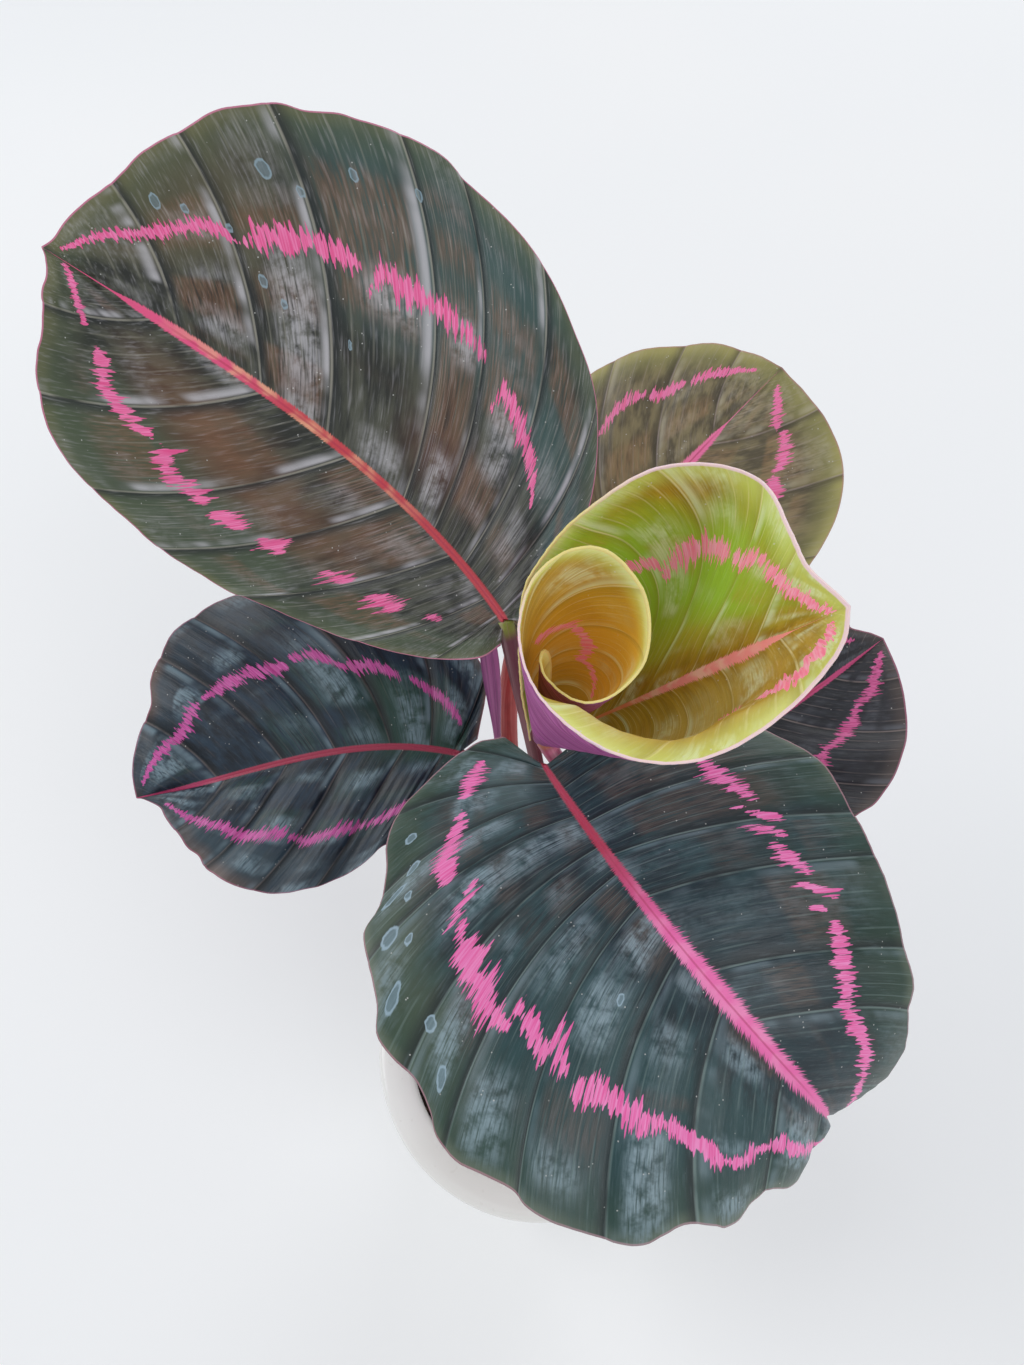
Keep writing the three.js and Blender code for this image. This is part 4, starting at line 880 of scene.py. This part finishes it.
# %% Dried water marks and dust
def add_marks_and_dust(net, look, base, spot):
    wobble = net.times(net.sum("SUBTRACT", net.noise(net.place(), scale=420.0), 0.5), 0.5)
    spot = net.plus(spot, wobble)
    base = net.over(base, look["drop"], net.step(spot, 1.05, 0.9), look["drop_amount"])
    base = net.over(base, look["drop_edge"], net.step(spot, 0.70, 0.85), net.step(spot, 1.1, 0.95),
                    look["drop_amount"])
    speck = net.step(net.cells(net.place(), 560.0), 0.15, 0.07)
    some = net.step(net.noise(net.place(), scale=210.0, detail=0.0), 0.62, 0.68)
    return net.over(base, look["dust"], speck, some, 0.6)

# %% The ring, the midrib and the edge
def add_pink(net, look, base, veins, marks, middle):
    reach, station = veins[1:]
    ring, rib, edge = marks
    across, along = middle[:2]
    seed, limit, soft = look["seed"], look["ring_reach"], look["rib_soft"]

    def hatch(shift, times, along_vein):
        place = net.vector(net.times(station, look["streaks"] * times), net.times(reach, along_vein),
                           seed + shift)
        return net.sum("SUBTRACT", net.noise(place, detail=1.0), 0.5)

    wide, narrow = hatch(5, 1.0, 3.0), hatch(6, 2.1, 5.0)
    ragged = net.plus(ring, net.times(wide, 3.4), net.times(narrow, 2.0))
    gaps = net.step(net.plus(hatch(21, 1.7, 9.0), net.times(ring, 0.10)), 0.24, 0.18)
    ring_colour = net.blend(net.step(narrow, -0.2, 0.2), look["ring"], look["ring_light"])
    base = net.over(base, ring_colour, net.step(ragged, limit, limit - 0.14), gaps, look["ring_amount"])
    barbs = net.plus(rib, net.times(hatch(7, 2.6, 3.0), look["feather"]),
                     net.times(hatch(8, 5.0, 4.0), look["feather"] * 0.5))
    rib_colour = net.blend(net.step(along, look["rib_turn"] - 0.25, look["rib_turn"]),
                           look["rib_foot"], look["rib_tip"])
    glow = net.noise(net.vector(net.times(along, 18.0), net.times(reach, 6.0), seed + 8))
    rib_colour = net.over(rib_colour, look["cream"], net.step(glow, 0.44, 0.6), net.step(along, 0.15, 0.4),
                          net.step(along, 0.85, 0.6), look["cream_amount"])
    base = net.over(base, rib_colour, net.step(barbs, 1 + soft, 1 - soft))
    base = net.over(base, look["line"], net.step(across, 0.42, 0.15), look["line_amount"],
                    net.step(along, look["line_end"], look["line_end"] - 0.1))
    hair_colour = net.blend(net.step(station, 0.5, 0.62), look["edge_deep"], look["edge"])
    hair = net.step(edge, look["edge_width"], look["edge_width"] * 0.55)
    return net.over(base, hair_colour, hair, look["edge_amount"])

# %% Put the upper face together
def upper_finish(name, look):
    net = Network(name)
    veins, marks, middle = [net.attribute(key) for key in ("veins", "marks", "middle")]
    base, coarse, fine = ground_colours(net, look, veins, marks[2])
    base = add_painted_sheen_and_veins(net, look, base, veins, fine)
    base = add_marks_and_dust(net, look, base, middle[2])
    base = add_pink(net, look, base, veins, marks, middle)
    gloss = net.plus(look["rough"] - 0.09, net.times(coarse, 0.18))
    grain = net.noise(net.place(), scale=900.0)
    height = net.plus(net.times(fine, 0.9), net.times(grain, 0.3))
    net.set(Base_Color=base, Roughness=gloss, Specular_IOR_Level=look["specular"],
            Normal=net.bump(height, 0.28, 0.0005))
    # painted light: the young leaf glows faintly in its own colour, standing in for daylight shining
    # through it; the subsurface weight is the leaf's own
    if look["glow"]:
        net.set(Subsurface_Weight=look["glow"], Subsurface_Radius=(0.003, 0.003, 0.0008),
                Emission_Color=base, Emission_Strength=look["through"])
    return net.material

# %% [markdown]
# ## The under face
# Turned over, a calathea leaf is wine red to magenta, dull, and its veins stand out paler. The young leaf
# has the brightest underside, which shows where it rolls over at its foot.

# %% Make an under face
def under_finish(name, dark, light, seed):
    net = Network(name)
    veins = net.attribute("veins")
    lines = streaks(net, veins, 9.0, 3.0, seed, 3.0)
    clouds = net.noise(net.place(), scale=30.0)
    base = net.blend(net.step(lines, 0.35, 0.68), colour(dark), colour(light))
    base = net.over(base, colour(dark), net.step(clouds, 0.4, 0.7), 0.35)
    pale = net.step(from_vein(net, net.times(veins[0], 3.0)), 0.12, 0.0)
    base = net.over(base, colour("#d8a0b8"), pale, 0.22)
    rough = net.plus(0.42, net.times(lines, 0.2))
    net.set(Base_Color=base, Roughness=rough, Normal=net.bump(lines, 0.3, 0.0004))
    return net.material

# %% [markdown]
# ## One look for each leaf
# No two leaves of a calathea match. The old top leaf has gone bronze, the front one is slate green, the low
# ones are almost black, and the youngest is yellow green with a coral ring. All share one recipe, so a look
# is only a list of colours and amounts, and most of them are the same for every leaf.

# %% The shared look, and what each leaf changes in it
SHARED_LOOK = dict(
    dark="#1b2220", mid="#333b35", valley_shade="#10171a", patch="#5c4433",
    patch_amount=0.6, patch_scale=24.0, zones=[], outer="#39432f", outer_amount=0.55,
    outer_width=20.0, rim="#6a6848", rim_amount=0.5, rim_width=6.0, painted_sheen="#a4a3ab",
    painted_sheen_amount=0.5, shoulder_highlight_amount=0.5, vein="#b3a39c", vein_amount=0.55, minor_amount=0.16,
    drop="#6f8791", drop_edge="#9db6c4", drop_amount=0.5, dust="#d8d8d4",
    streaks=190.0, ring="#e8508f", ring_light="#f886bb", ring_amount=0.97, feather=1.2,
    rib_foot="#b83742", rib_tip="#ea5a90", rib_turn=0.6, cream="#f2c8a4",
    cream_amount=0.4, line="#b02c4c", line_amount=0.5, line_end=0.8, edge="#d67a9c",
    edge_deep="#d67a9c", edge_width=0.6, edge_amount=0.8, rough=0.42, specular=0.5, glow=0.0, through=0.0,
    painted_sheen_zone=(0.0, 1.1, -1.3, 1.3), painted_sheen_rest=0.0, ring_reach=0.92, rib_soft=0.22,
    shade=0.6, fine_sheen_amount=0.16, painted_sheen_length=4.4,
)
LOOKS = {
    "a": dict(
        seed=11, dark="#1e211b", mid="#46483b", patch="#7e563a", shade=0.8,
        patch_amount=0.5, painted_sheen="#c6c4c8", painted_sheen_amount=0.6, fine_sheen_amount=0.22,
        shoulder_highlight_amount=0.75,
        painted_sheen_zone=(0.3, 0.86, -0.1, 0.62), painted_sheen_rest=0.22,
        zones=[("#365250", 0.9, (0.0, 0.66, 0.4, 1.2)),
               ("#42503a", 0.9, (0.0, 0.8, -1.2, -0.5)),
               ("#57523a", 0.8, (0.72, 1.1, 0.45, 1.2)),
               ("#7c5438", 0.5, (0.45, 0.84, -0.5, -0.2)),
               ("#84402a", 0.7, (0.46, 0.52, 0.12, 0.25))],
        outer="#4c583c", outer_width=16.0, rim="#7b774c", rib_foot="#c8404a",
        rib_tip="#ea5688", rib_turn=0.72, feather=0.9, cream="#f3b890",
        cream_amount=0.7, vein="#b8b4a6", vein_amount=0.4, ring_reach=0.84,
    ),
    "b": dict(
        seed=23, dark="#0a1622", mid="#1b2f40", valley_shade="#02050a",
        patch="#22463f", patch_amount=0.5, fine_sheen_amount=0.06, shade=0.85, outer="#1d2f3a", rim="#8a6248",
        rim_amount=0.45, painted_sheen="#8097a2", painted_sheen_amount=0.7, shoulder_highlight_amount=0.6,
        zones=[("#12402c", 0.7, (0.0, 0.5, -0.1, 0.4)),
               ("#43565f", 0.8, (0.15, 0.95, -1.3, -0.72))], ring="#b83a8c",
        ring_light="#d368ae", rib_foot="#a02a48", rib_tip="#b8406c",
        rib_turn=0.9, feather=0.5, cream_amount=0.0, line_amount=0.0, minor_amount=0.06,
        drop_amount=0.0, vein_amount=0.12, edge_amount=0.35, ring_reach=0.84,
    ),
    "c": dict(
        seed=37, dark="#0c2228", mid="#224348", valley_shade="#050f14",
        patch="#4f4038", patch_amount=0.72, fine_sheen_amount=0.1, shade=0.75, outer="#2a4433", outer_width=18.0,
        rim="#77806a", rim_width=4.0, painted_sheen="#9ab0ba", painted_sheen_amount=0.68, painted_sheen_length=3.0,
        painted_sheen_zone=(0.12, 0.97, 0.0, 0.97), painted_sheen_rest=0.14,
        zones=[("#133026", 0.85, (0.0, 1.1, -1.2, -0.5)),
               ("#0f242e", 0.7, (0.1, 1.1, -0.6, 0.2)),
               ("#1c4143", 0.8, (0.5, 1.1, 0.35, 1.2)),
               ("#4c5c46", 0.7, (0.12, 0.5, 0.72, 1.2)),
               # painted sheen: the last zone of leaf c, a light grey teal near its foot
               ("#5e7272", 0.6, (0.04, 0.3, 0.12, 0.7))],
        minor_amount=0.2, ring="#ee5ca6", ring_light="#f98fcb",
        rib_foot="#b03450", rib_tip="#f06cb0", rib_turn=0.42, feather=1.9,
        cream="#f8a6cc", cream_amount=0.4, line="#b03258", line_amount=0.45,
        line_end=0.8, drop_amount=0.75, streaks=220.0, edge="#b9929c", edge_deep="#c08a98",
        edge_amount=0.6, vein="#8ba09c", vein_amount=0.3, shoulder_highlight_amount=0.28, ring_reach=0.80,
    ),
    "d": dict(
        seed=41, dark="#564d37", mid="#857956", valley_shade="#3c3426",
        patch="#94744f", outer="#8d8a52", outer_amount=0.8, outer_width=14.0,
        rim="#b2aa66", rim_amount=0.8, painted_sheen="#bdb49c", painted_sheen_amount=0.35,
        ring="#f06a9c", rib_foot="#e6547f", rib_tip="#f878ac", rib_turn=0.4,
        feather=1.2, cream_amount=0.1, drop_amount=0.0, edge_amount=0.3, vein_amount=0.3,
    ),
    "e": dict(
        seed=53, dark="#11131a", mid="#22252d", valley_shade="#0a0b10",
        patch="#2e2c30", patch_amount=0.4, outer="#2c292c", rim="#6a5c54",
        painted_sheen="#6c7078", painted_sheen_amount=0.3, ring="#c84484", ring_light="#e070a8",
        rib_foot="#a82c4c", rib_tip="#c8487c", cream_amount=0.0, drop_amount=0.0,
        edge_amount=0.4, vein_amount=0.25,
    ),
    "f": dict(
        seed=67, dark="#98761a", mid="#b08c26", valley_shade="#8a6c18",
        patch="#b07c24", patch_amount=0.4, patch_scale=18.0, shade=0.3, fine_sheen_amount=0.12,
        zones=[("#a4ac30", 0.75, (0.05, 1.1, -0.8, -0.2)),
               ("#98c034", 0.97, (0.0, 0.97, -1.3, -0.4)),
               ("#e4b23c", 0.9, (0.0, 0.42, 0.0, 1.3)),
               ("#c8ac54", 0.8, (0.5, 1.1, 0.12, 1.3))],
        outer="#d2e070", outer_amount=0.6, outer_width=8.0, rim="#eef2a8",
        rim_amount=0.9, rim_width=4.0, painted_sheen="#e4eec0", painted_sheen_amount=0.55, shoulder_highlight_amount=0.55,
        vein="#f0e8b0", vein_amount=0.4, minor_amount=0.25, drop_amount=0.0,
        ring="#fb7c98", ring_light="#ffacbe", streaks=150.0,
        rib_foot="#e08050", rib_tip="#f6968c", rib_turn=0.5, feather=1.5,
        cream="#f8d4b4", cream_amount=0.6, line_amount=0.0, edge="#f4d4dc",
        edge_deep="#e6d488", edge_width=0.9, edge_amount=0.9, rough=0.4, specular=0.4,
        # through sets the painted glow of the young leaf, in its own colour, standing in for light shining
        # through it
        glow=0.3, through=0.12,
    ),
}

# %% Grow the open blades
BLADE_BUILD = {
    "a": dict(pleats=dict(left=8, right=9), height=dict(left=1.5, right=1.6), seed=3),
    "b": dict(pleats=dict(left=6, right=7), height=dict(left=2.6, right=2.6), seed=5),
    "c": dict(pleats=dict(left=9, right=12), height=dict(left=0.6, right=1.7), seed=7),
    "d": dict(pleats=dict(left=8, right=8), height=dict(left=1.0, right=1.1), seed=9),
    "e": dict(pleats=dict(left=7, right=7), height=dict(left=1.0, right=1.0), seed=13),
}
UNDER_DARK, UNDER_LIGHT = "#4c1f38", "#7e3a5c"

def dress_blade(piece, letter, under_dark, under_light):
    look = {key: colour(value) if isinstance(value, str) else value
            for key, value in {**SHARED_LOOK, **LOOKS[letter]}.items()}
    upper = upper_finish(f"leaf_{letter}_upper", look)
    under = under_finish(f"leaf_{letter}_under", under_dark, under_light, look["seed"])
    hand_over(piece, f"blade_{letter}", "young_leaf" if letter == "f" else "open_leaf", upper, under)

for letter, build in BLADE_BUILD.items():
    blade = build_blade(
        letter, LEAVES[letter], open_surface(LEAVES[letter]), rows=198,
        columns=(reach_columns(50), reach_columns(50)), thickness=0.55, keel=1.6, **build)
    dress_blade(blade, letter, UNDER_DARK, UNDER_LIGHT)

# %% Grow the rolled blade
young_blade = build_blade(
    "f", ROLLED, rolled_surface(), rows=132, columns=(reach_columns(48), reach_columns(150)),
    pleats=dict(left=8, right=11), height=dict(left=0.35, right=0.25), thickness=0.5, keel=0, seed=17)
dress_blade(young_blade, "f", "#8e3576", "#c870b4")

# %% [markdown]
# ## The stalks and the spear
# Each leaf stands on a round juicy stalk, wine red and a little translucent, with a short swollen joint
# where it meets the blade. A tube swept along a curve gives that, as long as its sides don't twist, so each
# ring of the tube is turned as little as possible from the one before.

# %% Sweep a tube along a curve
def sweep(name, controls, radius_at, sides, steps):
    along = np.linspace(0, 1, steps + 1)
    time, run = even_times(controls, along)
    angles = np.linspace(0, 2 * math.pi, sides, endpoint=False)
    across = np.array([1.0, 0, 0])
    rings = []
    for part, centre, forward in zip(along, bend_places(controls, time), bend_directions(controls, time)):
        across = unit(across - forward * (across @ forward))
        radius = radius_at(part, angles)
        rings.append(centre + np.outer(radius * np.cos(angles), across)
                     + np.outer(radius * np.sin(angles), np.cross(forward, across)))
    faces = tube_faces(steps + 1, sides)
    faces.append(tuple(range(sides - 1, -1, -1)))
    faces.append(tuple(range(steps * sides, (steps + 1) * sides)))
    lengths = np.repeat(along, sides)
    values = np.stack([np.tile(angles, steps + 1), lengths, lengths * run], -1)
    return mesh_object(name, np.concatenate(rings), faces, attributes={"stem": values})

# %% The courses of the stalks, from the soil to the blade
STALKS = {
    "a": dict(foot=(3, 12), lean=(5, 24, 150), bend=(8, -19, -46), radius=2.0),
    "b": dict(foot=(-12, 6), lean=(-6, 24, 90), bend=(12, -6, -9), radius=2.0),
    "c": dict(foot=(1, -4), lean=(-5, 14, 110), bend=(-3, -7, -14), radius=1.9),
    "d": dict(foot=(3, 21), lean=(-6, 34, 66), bend=(-12, -16, -22), radius=3.1),
    "e": dict(foot=(12, 6), lean=(8, 14, 80), bend=(-9, -8, -12), radius=1.9),
    "f": dict(foot=(13, 20), lean=(20, 36, 120), bend=(0, 0, -14), radius=2.2),
}
SPEAR = dict(foot=(-11, 19), lean=(0, 26, 86), bend=(8, -24, -34), tip=(-21, 97, 276))

STEM_FOOT_HEIGHT = 76.0

def stem_controls(stem, head):
    foot = np.array([*stem["foot"], STEM_FOOT_HEIGHT])
    return [foot, foot + np.array(stem["lean"]), np.array(head) + np.array(stem["bend"]), np.array(head)]

# %% A stalk's finish: wine red, paler and greener at the joint, with fine lengthwise lines
def stem_lines(net, round_it, along_it):
    turn, along, run = net.attribute("stem")
    place = net.vector(net.times(turn, round_it), net.times(run, along_it))
    return along, net.noise(place, detail=3.0)

def stalk_finish(name, foot, middle, joint, shine):
    net = Network(name)
    along, lines = stem_lines(net, 4.0, 0.03)
    blotches = net.noise(net.place(), scale=120.0)
    base = net.blend(net.step(along, 0.35, 0.85), colour(foot), colour(middle))
    base = net.over(base, colour(joint), net.step(along, 0.972, 0.99))
    base = net.over(base, colour(shine), net.step(lines, 0.5, 0.7), 0.4)
    base = net.over(base, colour(foot), net.step(blotches, 0.5, 0.75), 0.3)
    net.set(Base_Color=base, Roughness=net.plus(0.3, net.times(blotches, 0.2)),
            Normal=net.bump(lines, 0.4, 0.0005), Subsurface_Weight=0.15,
            Subsurface_Radius=(0.002, 0.0006, 0.0005))
    return net.material

STALK_COLOURS = {
    "a": ("#5c2c30", "#7c4a50", "#8f9a3c", "#b08a8e"),
    "b": ("#5c2c30", "#a03a52", "#b04a5e", "#d08a98"),
    "c": ("#6a2a34", "#b04a5e", "#c0505e", "#d88a98"),
    "d": ("#7a2a2c", "#b8403c", "#b04a40", "#e08a80"),
    "e": ("#5c2c30", "#a03a52", "#b04a5e", "#d08a98"),
    "f": ("#7a2e3c", "#c05a7c", "#d08060", "#e8a0b4"),
}

# %% Grow the stalks
def stalk_radius(radius):
    def at(along, angles):
        swell = 1 + 0.25 * (1 - along)**4 + 0.18 * along**8
        return radius * swell * (1 + 0.03 * np.cos(5 * angles + 9 * along))
    return at

UNDER_THE_BLADE = 0.9

def blade_foot(letter):
    leaf = LEAVES[letter]
    surface = open_surface(leaf)
    grid = blade_grid(leaf, surface, 2, (np.array([0.5]), np.array([0.5])))
    up = blade_up(surface, grid)
    return grid["place"][0, 1] - up[0, 1] * UNDER_THE_BLADE

for letter, stalk in STALKS.items():
    head = ROLL_FOOT - np.array([0, 0, 0.1]) if letter == "f" else blade_foot(letter)
    stem = sweep(f"petiole_{letter}", stem_controls(stalk, head), stalk_radius(stalk["radius"]), 20, 90)
    skin = stalk_finish(f"petiole_{letter}_skin", *STALK_COLOURS[letter])
    hand_over(stem, f"stalk_{letter}", "stalk", skin)
    print("petiole", letter, "meets its blade at", np.round(head, 1))

# %% Grow the spear: a blade rolled tight, so its outer edge runs round it as a low step
def spear_radius(along, angles):
    swelling = np.maximum(0, (along - 0.7) / 0.3)
    radius = 1.1 * (1 - along**12) + 1.8 * np.sin(math.pi * swelling)**2 + 0.12
    wrap = (angles / (2 * math.pi) + 0.25 + 0.5 * along) % 1
    return radius * (0.9 + 0.2 * wrap * np.minimum(1, 4 * swelling))

def spear_finish():
    net = Network("spear_skin")
    along, lines = stem_lines(net, 3.0, 0.02)
    base = net.blend(net.step(along, 0.55, 0.8), colour("#7c3348"), colour("#a85a90"))
    base = net.over(base, colour("#6c3566"), net.step(lines, 0.42, 0.62), 0.6)
    base = net.over(base, colour("#cf8ab8"), net.step(lines, 0.6, 0.75), 0.5)
    net.set(Base_Color=base, Roughness=net.plus(0.35, net.times(lines, 0.2)),
            Normal=net.bump(lines, 0.4, 0.0005))
    return net.material

spear = sweep("spear_rolled", stem_controls(SPEAR, SPEAR["tip"]), spear_radius, 36, 120)
hand_over(spear, "spear", "spear", spear_finish())
print("spear faces", len(spear.data.polygons))

# %% [markdown]
# ## The pot
# The pot is plain white glazed ware, a little wider at the rim than at the foot. It is turned on a wheel,
# so one outline goes round its axis. The outline gets soft corners, because glaze never keeps a sharp
# one.

# %% Turn the pot
POT_OUTLINE = [
    (0, 0), (30, 0), (38.4, 0), (40.2, 0.35), (41.4, 1.2), (42.05, 2.5), (42.9, 6), (46.4, 27), (50.2, 50),
    (54.0, 73), (57.4, 93.5), (59.0, 103), (59.75, 106.2), (59.9, 108.0), (59.4, 109.3), (58.2, 110.0),
    (56.0, 110.1), (52.5, 109.9), (50.0, 109.3), (48.2, 108.1), (47.4, 106.4), (47.4, 103.4),
    (48.6, 101.2), (53.0, 98.6), (53.4, 97.2), (52.2, 88), (46.2, 52), (39.4, 11), (38.2, 8.6),
    (36.5, 8.0), (20, 8), (0, 8),
]
ROUND_SIDES = 144

def turn_outline(name, outline):
    radii, heights = np.array(outline, float).T
    angles = np.linspace(0, 2 * math.pi, ROUND_SIDES, endpoint=False)
    levels = np.repeat(heights[:, None], ROUND_SIDES, axis=1)
    corners = np.stack([np.outer(radii, np.cos(angles)), np.outer(radii, np.sin(angles)), levels], -1)
    piece = mesh_object(name, corners.reshape(-1, 3), tube_faces(len(outline), ROUND_SIDES))
    close_up(piece)
    return piece

def glaze_finish():
    net = Network("white_glaze")
    clouds = net.noise(net.place(), scale=14.0, detail=3.0)
    pits = net.noise(net.place(), scale=420.0, detail=1.0)
    base = net.blend(net.step(clouds, 0.35, 0.7), colour("#eceae5"), colour("#f6f5f2"))
    base = net.over(base, colour("#cfc9bf"), net.step(pits, 0.68, 0.74), 0.15)
    height = net.plus(clouds, net.times(pits, 0.1))
    net.set(Base_Color=base, Roughness=net.plus(0.14, net.times(clouds, 0.14)),
            Normal=net.bump(height, 0.12, 0.002), Coat_Weight=0.5, Coat_Roughness=0.08)
    return net.material

pot = turn_outline("pot_glazed", POT_OUTLINE)
hand_over(pot, "pot", "pot_glaze", glaze_finish())
print("pot faces", len(pot.data.polygons))

# %% [markdown]
# ## The soil
# Potting soil is a loose mix of dark crumbs, bark and a few white grains. The bed is one uneven round plug
# that fills the pot, and on it lie crumbs, each one a small rock shape of its own. They are scattered over
# the bed from a fixed seed and sunk by a third, so none of them floats.

# %% Lay the bed of soil
SOIL_RADIUS = 52.6
SOIL_TOP = 96.0
SOIL_FOOT_RADIUS, SOIL_FOOT = 38.0, 8.6

def soil_height(x, y):
    out = np.hypot(x, y) / SOIL_RADIUS
    swell = 3.0 * (1 - np.clip(out, 0, 1)**2)
    lumps = (0.45 * np.sin(x * 0.61 + 1.3) * np.cos(y * 0.53 + 0.4)
             + 0.35 * np.sin(x * 1.27 - y * 0.83) + 0.25 * np.cos(x * 2.1 + y * 1.7))
    return SOIL_TOP + swell + lumps * np.clip(3.5 * (1 - out), 0, 1)

def soil_bed():
    rings, sides = 56, 160
    corners = [(0, 0, float(soil_height(np.array(0.0), np.array(0.0))))]
    for ring in range(1, rings + 1):
        for side in range(sides):
            angle = 2 * math.pi * side / sides
            radius = SOIL_RADIUS * ring / rings
            x, y = radius * math.cos(angle), radius * math.sin(angle)
            corners.append((x, y, float(soil_height(np.array(x), np.array(y)))))
    faces = [(0, 1 + side, 1 + (side + 1) % sides) for side in range(sides)]
    for ring in range(rings - 1):
        for side in range(sides):
            here = 1 + ring * sides + side
            beside = 1 + ring * sides + (side + 1) % sides
            faces.append((here, here + sides, beside + sides, beside))
    rim = 1 + (rings - 1) * sides
    foot = len(corners)
    for side in range(sides):
        angle = 2 * math.pi * side / sides
        corners.append((SOIL_FOOT_RADIUS * math.cos(angle), SOIL_FOOT_RADIUS * math.sin(angle), SOIL_FOOT))
    for side in range(sides):
        beside = (side + 1) % sides
        faces.append((rim + side, foot + side, foot + beside, rim + beside))
    faces.append(tuple(foot + side for side in range(sides))[::-1])
    return mesh_object("soil_bed", corners, faces)

# %% Scatter the crumbs
def crumb_shapes(count, smallest, largest, seed):
    random = np.random.default_rng(seed)
    ball = bmesh.new()
    bmesh.ops.create_icosphere(ball, subdivisions=2, radius=1.0)
    points = np.array([corner.co[:] for corner in ball.verts])
    sides = [[corner.index for corner in face.verts] for face in ball.faces]
    ball.free()
    corners, faces = [], []
    for _ in range(count):
        out = (SOIL_RADIUS - 3.0) * math.sqrt(random.uniform(0, 1))
        angle = random.uniform(0, 2 * math.pi)
        x, y = out * math.cos(angle), out * math.sin(angle)
        size = random.uniform(smallest, largest)
        stretch = random.uniform(0.55, 1.25, 3) * size
        turn = random.uniform(0, 2 * math.pi)
        rough = 1 + 0.16 * np.sin(points @ random.normal(0, 2.6, 3) + random.uniform(0, 6))
        rough = rough * (1 + 0.10 * np.sin(points @ random.normal(0, 5.0, 3)))
        shape = points * rough[:, None] * stretch
        turned = shape @ np.array([
            [math.cos(turn), math.sin(turn), 0], [-math.sin(turn), math.cos(turn), 0], [0, 0, 1]])
        height = float(soil_height(np.array(x), np.array(y))) + 0.25 * stretch[2]
        start = len(corners)
        corners.extend((turned + np.array([x, y, height])).tolist())
        faces.extend([[start + corner for corner in side] for side in sides])
    return corners, faces

def soil_finish(name, dark, light, amount):
    net = Network(name)
    lumps = net.noise(net.place(), scale=260.0, detail=4.0, roughness=0.6)
    patches = net.noise(net.place(), scale=60.0)
    fibres = net.noise(net.place(), scale=900.0)
    base = net.blend(net.step(lumps, 0.35, 0.7), colour(dark), colour(light))
    base = net.over(base, colour("#4a3626"), net.step(patches, 0.45, 0.7), amount)
    height = net.plus(lumps, net.times(fibres, 0.4))
    net.set(Base_Color=base, Roughness=net.plus(0.82, net.times(lumps, 0.15)),
            Normal=net.bump(height, 0.7, 0.0012))
    return net.material

bed = soil_bed()
crumbs = mesh_object("soil_crumbs", *crumb_shapes(900, 0.6, 1.9, 71))
grains = mesh_object("soil_white_grains", *crumb_shapes(60, 0.5, 1.1, 73))
hand_over(bed, "soil", "potting_soil", soil_finish("soil_dark", "#120d0a", "#33261c", 0.5))
hand_over(crumbs, "soil", "potting_soil", soil_finish("soil_crumb", "#1a120d", "#4a3728", 0.6))
hand_over(grains, "soil", "potting_soil", soil_finish("soil_grain", "#b9b4a8", "#e2dfd6", 0.08))
print("soil pieces", len(crumbs.data.polygons) + len(grains.data.polygons), "faces in crumbs and grains")

# %% [markdown]
# ## Floor and light
# The plant stands on a pale floor in bright even daylight. A bright sky all round keeps the shadows faint,
# and three very large lamps give the soft grey gleam on the pleats, on top of the sheen painted into the
# leaves:
# one at the left like a window, one behind and one in front. The colours are shown as they are, without a
# film look.

# %% Lay the floor
FLOOR_HALF, FLOOR_HEIGHT = 4000, -0.5

def floor_finish():
    net = Network("pale_floor")
    clouds = net.noise(net.place(), scale=1.5)
    base = net.blend(net.step(clouds, 0.3, 0.7), colour("#f6f7f8"), colour("#f9f9f9"))
    net.set(Base_Color=base, Roughness=0.85, Specular_IOR_Level=0.1)
    return net.material

floor_corners = [(x * FLOOR_HALF, y * FLOOR_HALF, FLOOR_HEIGHT)
                 for x, y in ((-1, -1), (1, -1), (1, 1), (-1, 1))]
floor = mesh_object("floor", floor_corners, [(0, 1, 2, 3)])
floor.data.materials.append(floor_finish())
print("the floor lies", FLOOR_HEIGHT, "mm under the foot of the pot")

# %% Light the scene
SKY_COLOUR, SKY_STRENGTH = (0.93, 0.96, 1.0, 1), 0.62
LAMPS = {
    "window_lamp": dict(place=(-1.5, 0.5, 1.3), size=1.3, power=10),
    "far_lamp": dict(place=(0.9, 1.9, 1.3), size=1.5, power=9),
    "front_lamp": dict(place=(1.2, -1.2, 1.6), size=1.6, power=11),
}
LAMP_AIM = (0, 0.05, 0.25)

world = bpy.data.worlds.new("daylight")
bpy.context.scene.world = world
world.use_nodes = True
sky = world.node_tree.nodes["Background"]
sky.inputs["Color"].default_value = SKY_COLOUR
sky.inputs["Strength"].default_value = SKY_STRENGTH
bpy.context.scene.view_settings.view_transform = "Standard"
bpy.context.scene.view_settings.look = "None"

def add_lamp(name, place, size, power):
    lamp_data = bpy.data.lights.new(name, "AREA")
    lamp_data.shape = "DISK"
    lamp_data.size = size
    lamp_data.energy = power
    lamp = bpy.data.objects.new(name, lamp_data)
    lamp.location = place
    toward = np.array(LAMP_AIM) - np.array(place)
    lamp.rotation_euler = (math.acos(-toward[2] / np.linalg.norm(toward)), 0,
                           math.atan2(-toward[0], toward[1]))
    bpy.context.scene.collection.objects.link(lamp)

for name, lamp in LAMPS.items():
    add_lamp(name, **lamp)
print("lamps:", ", ".join(LAMPS))
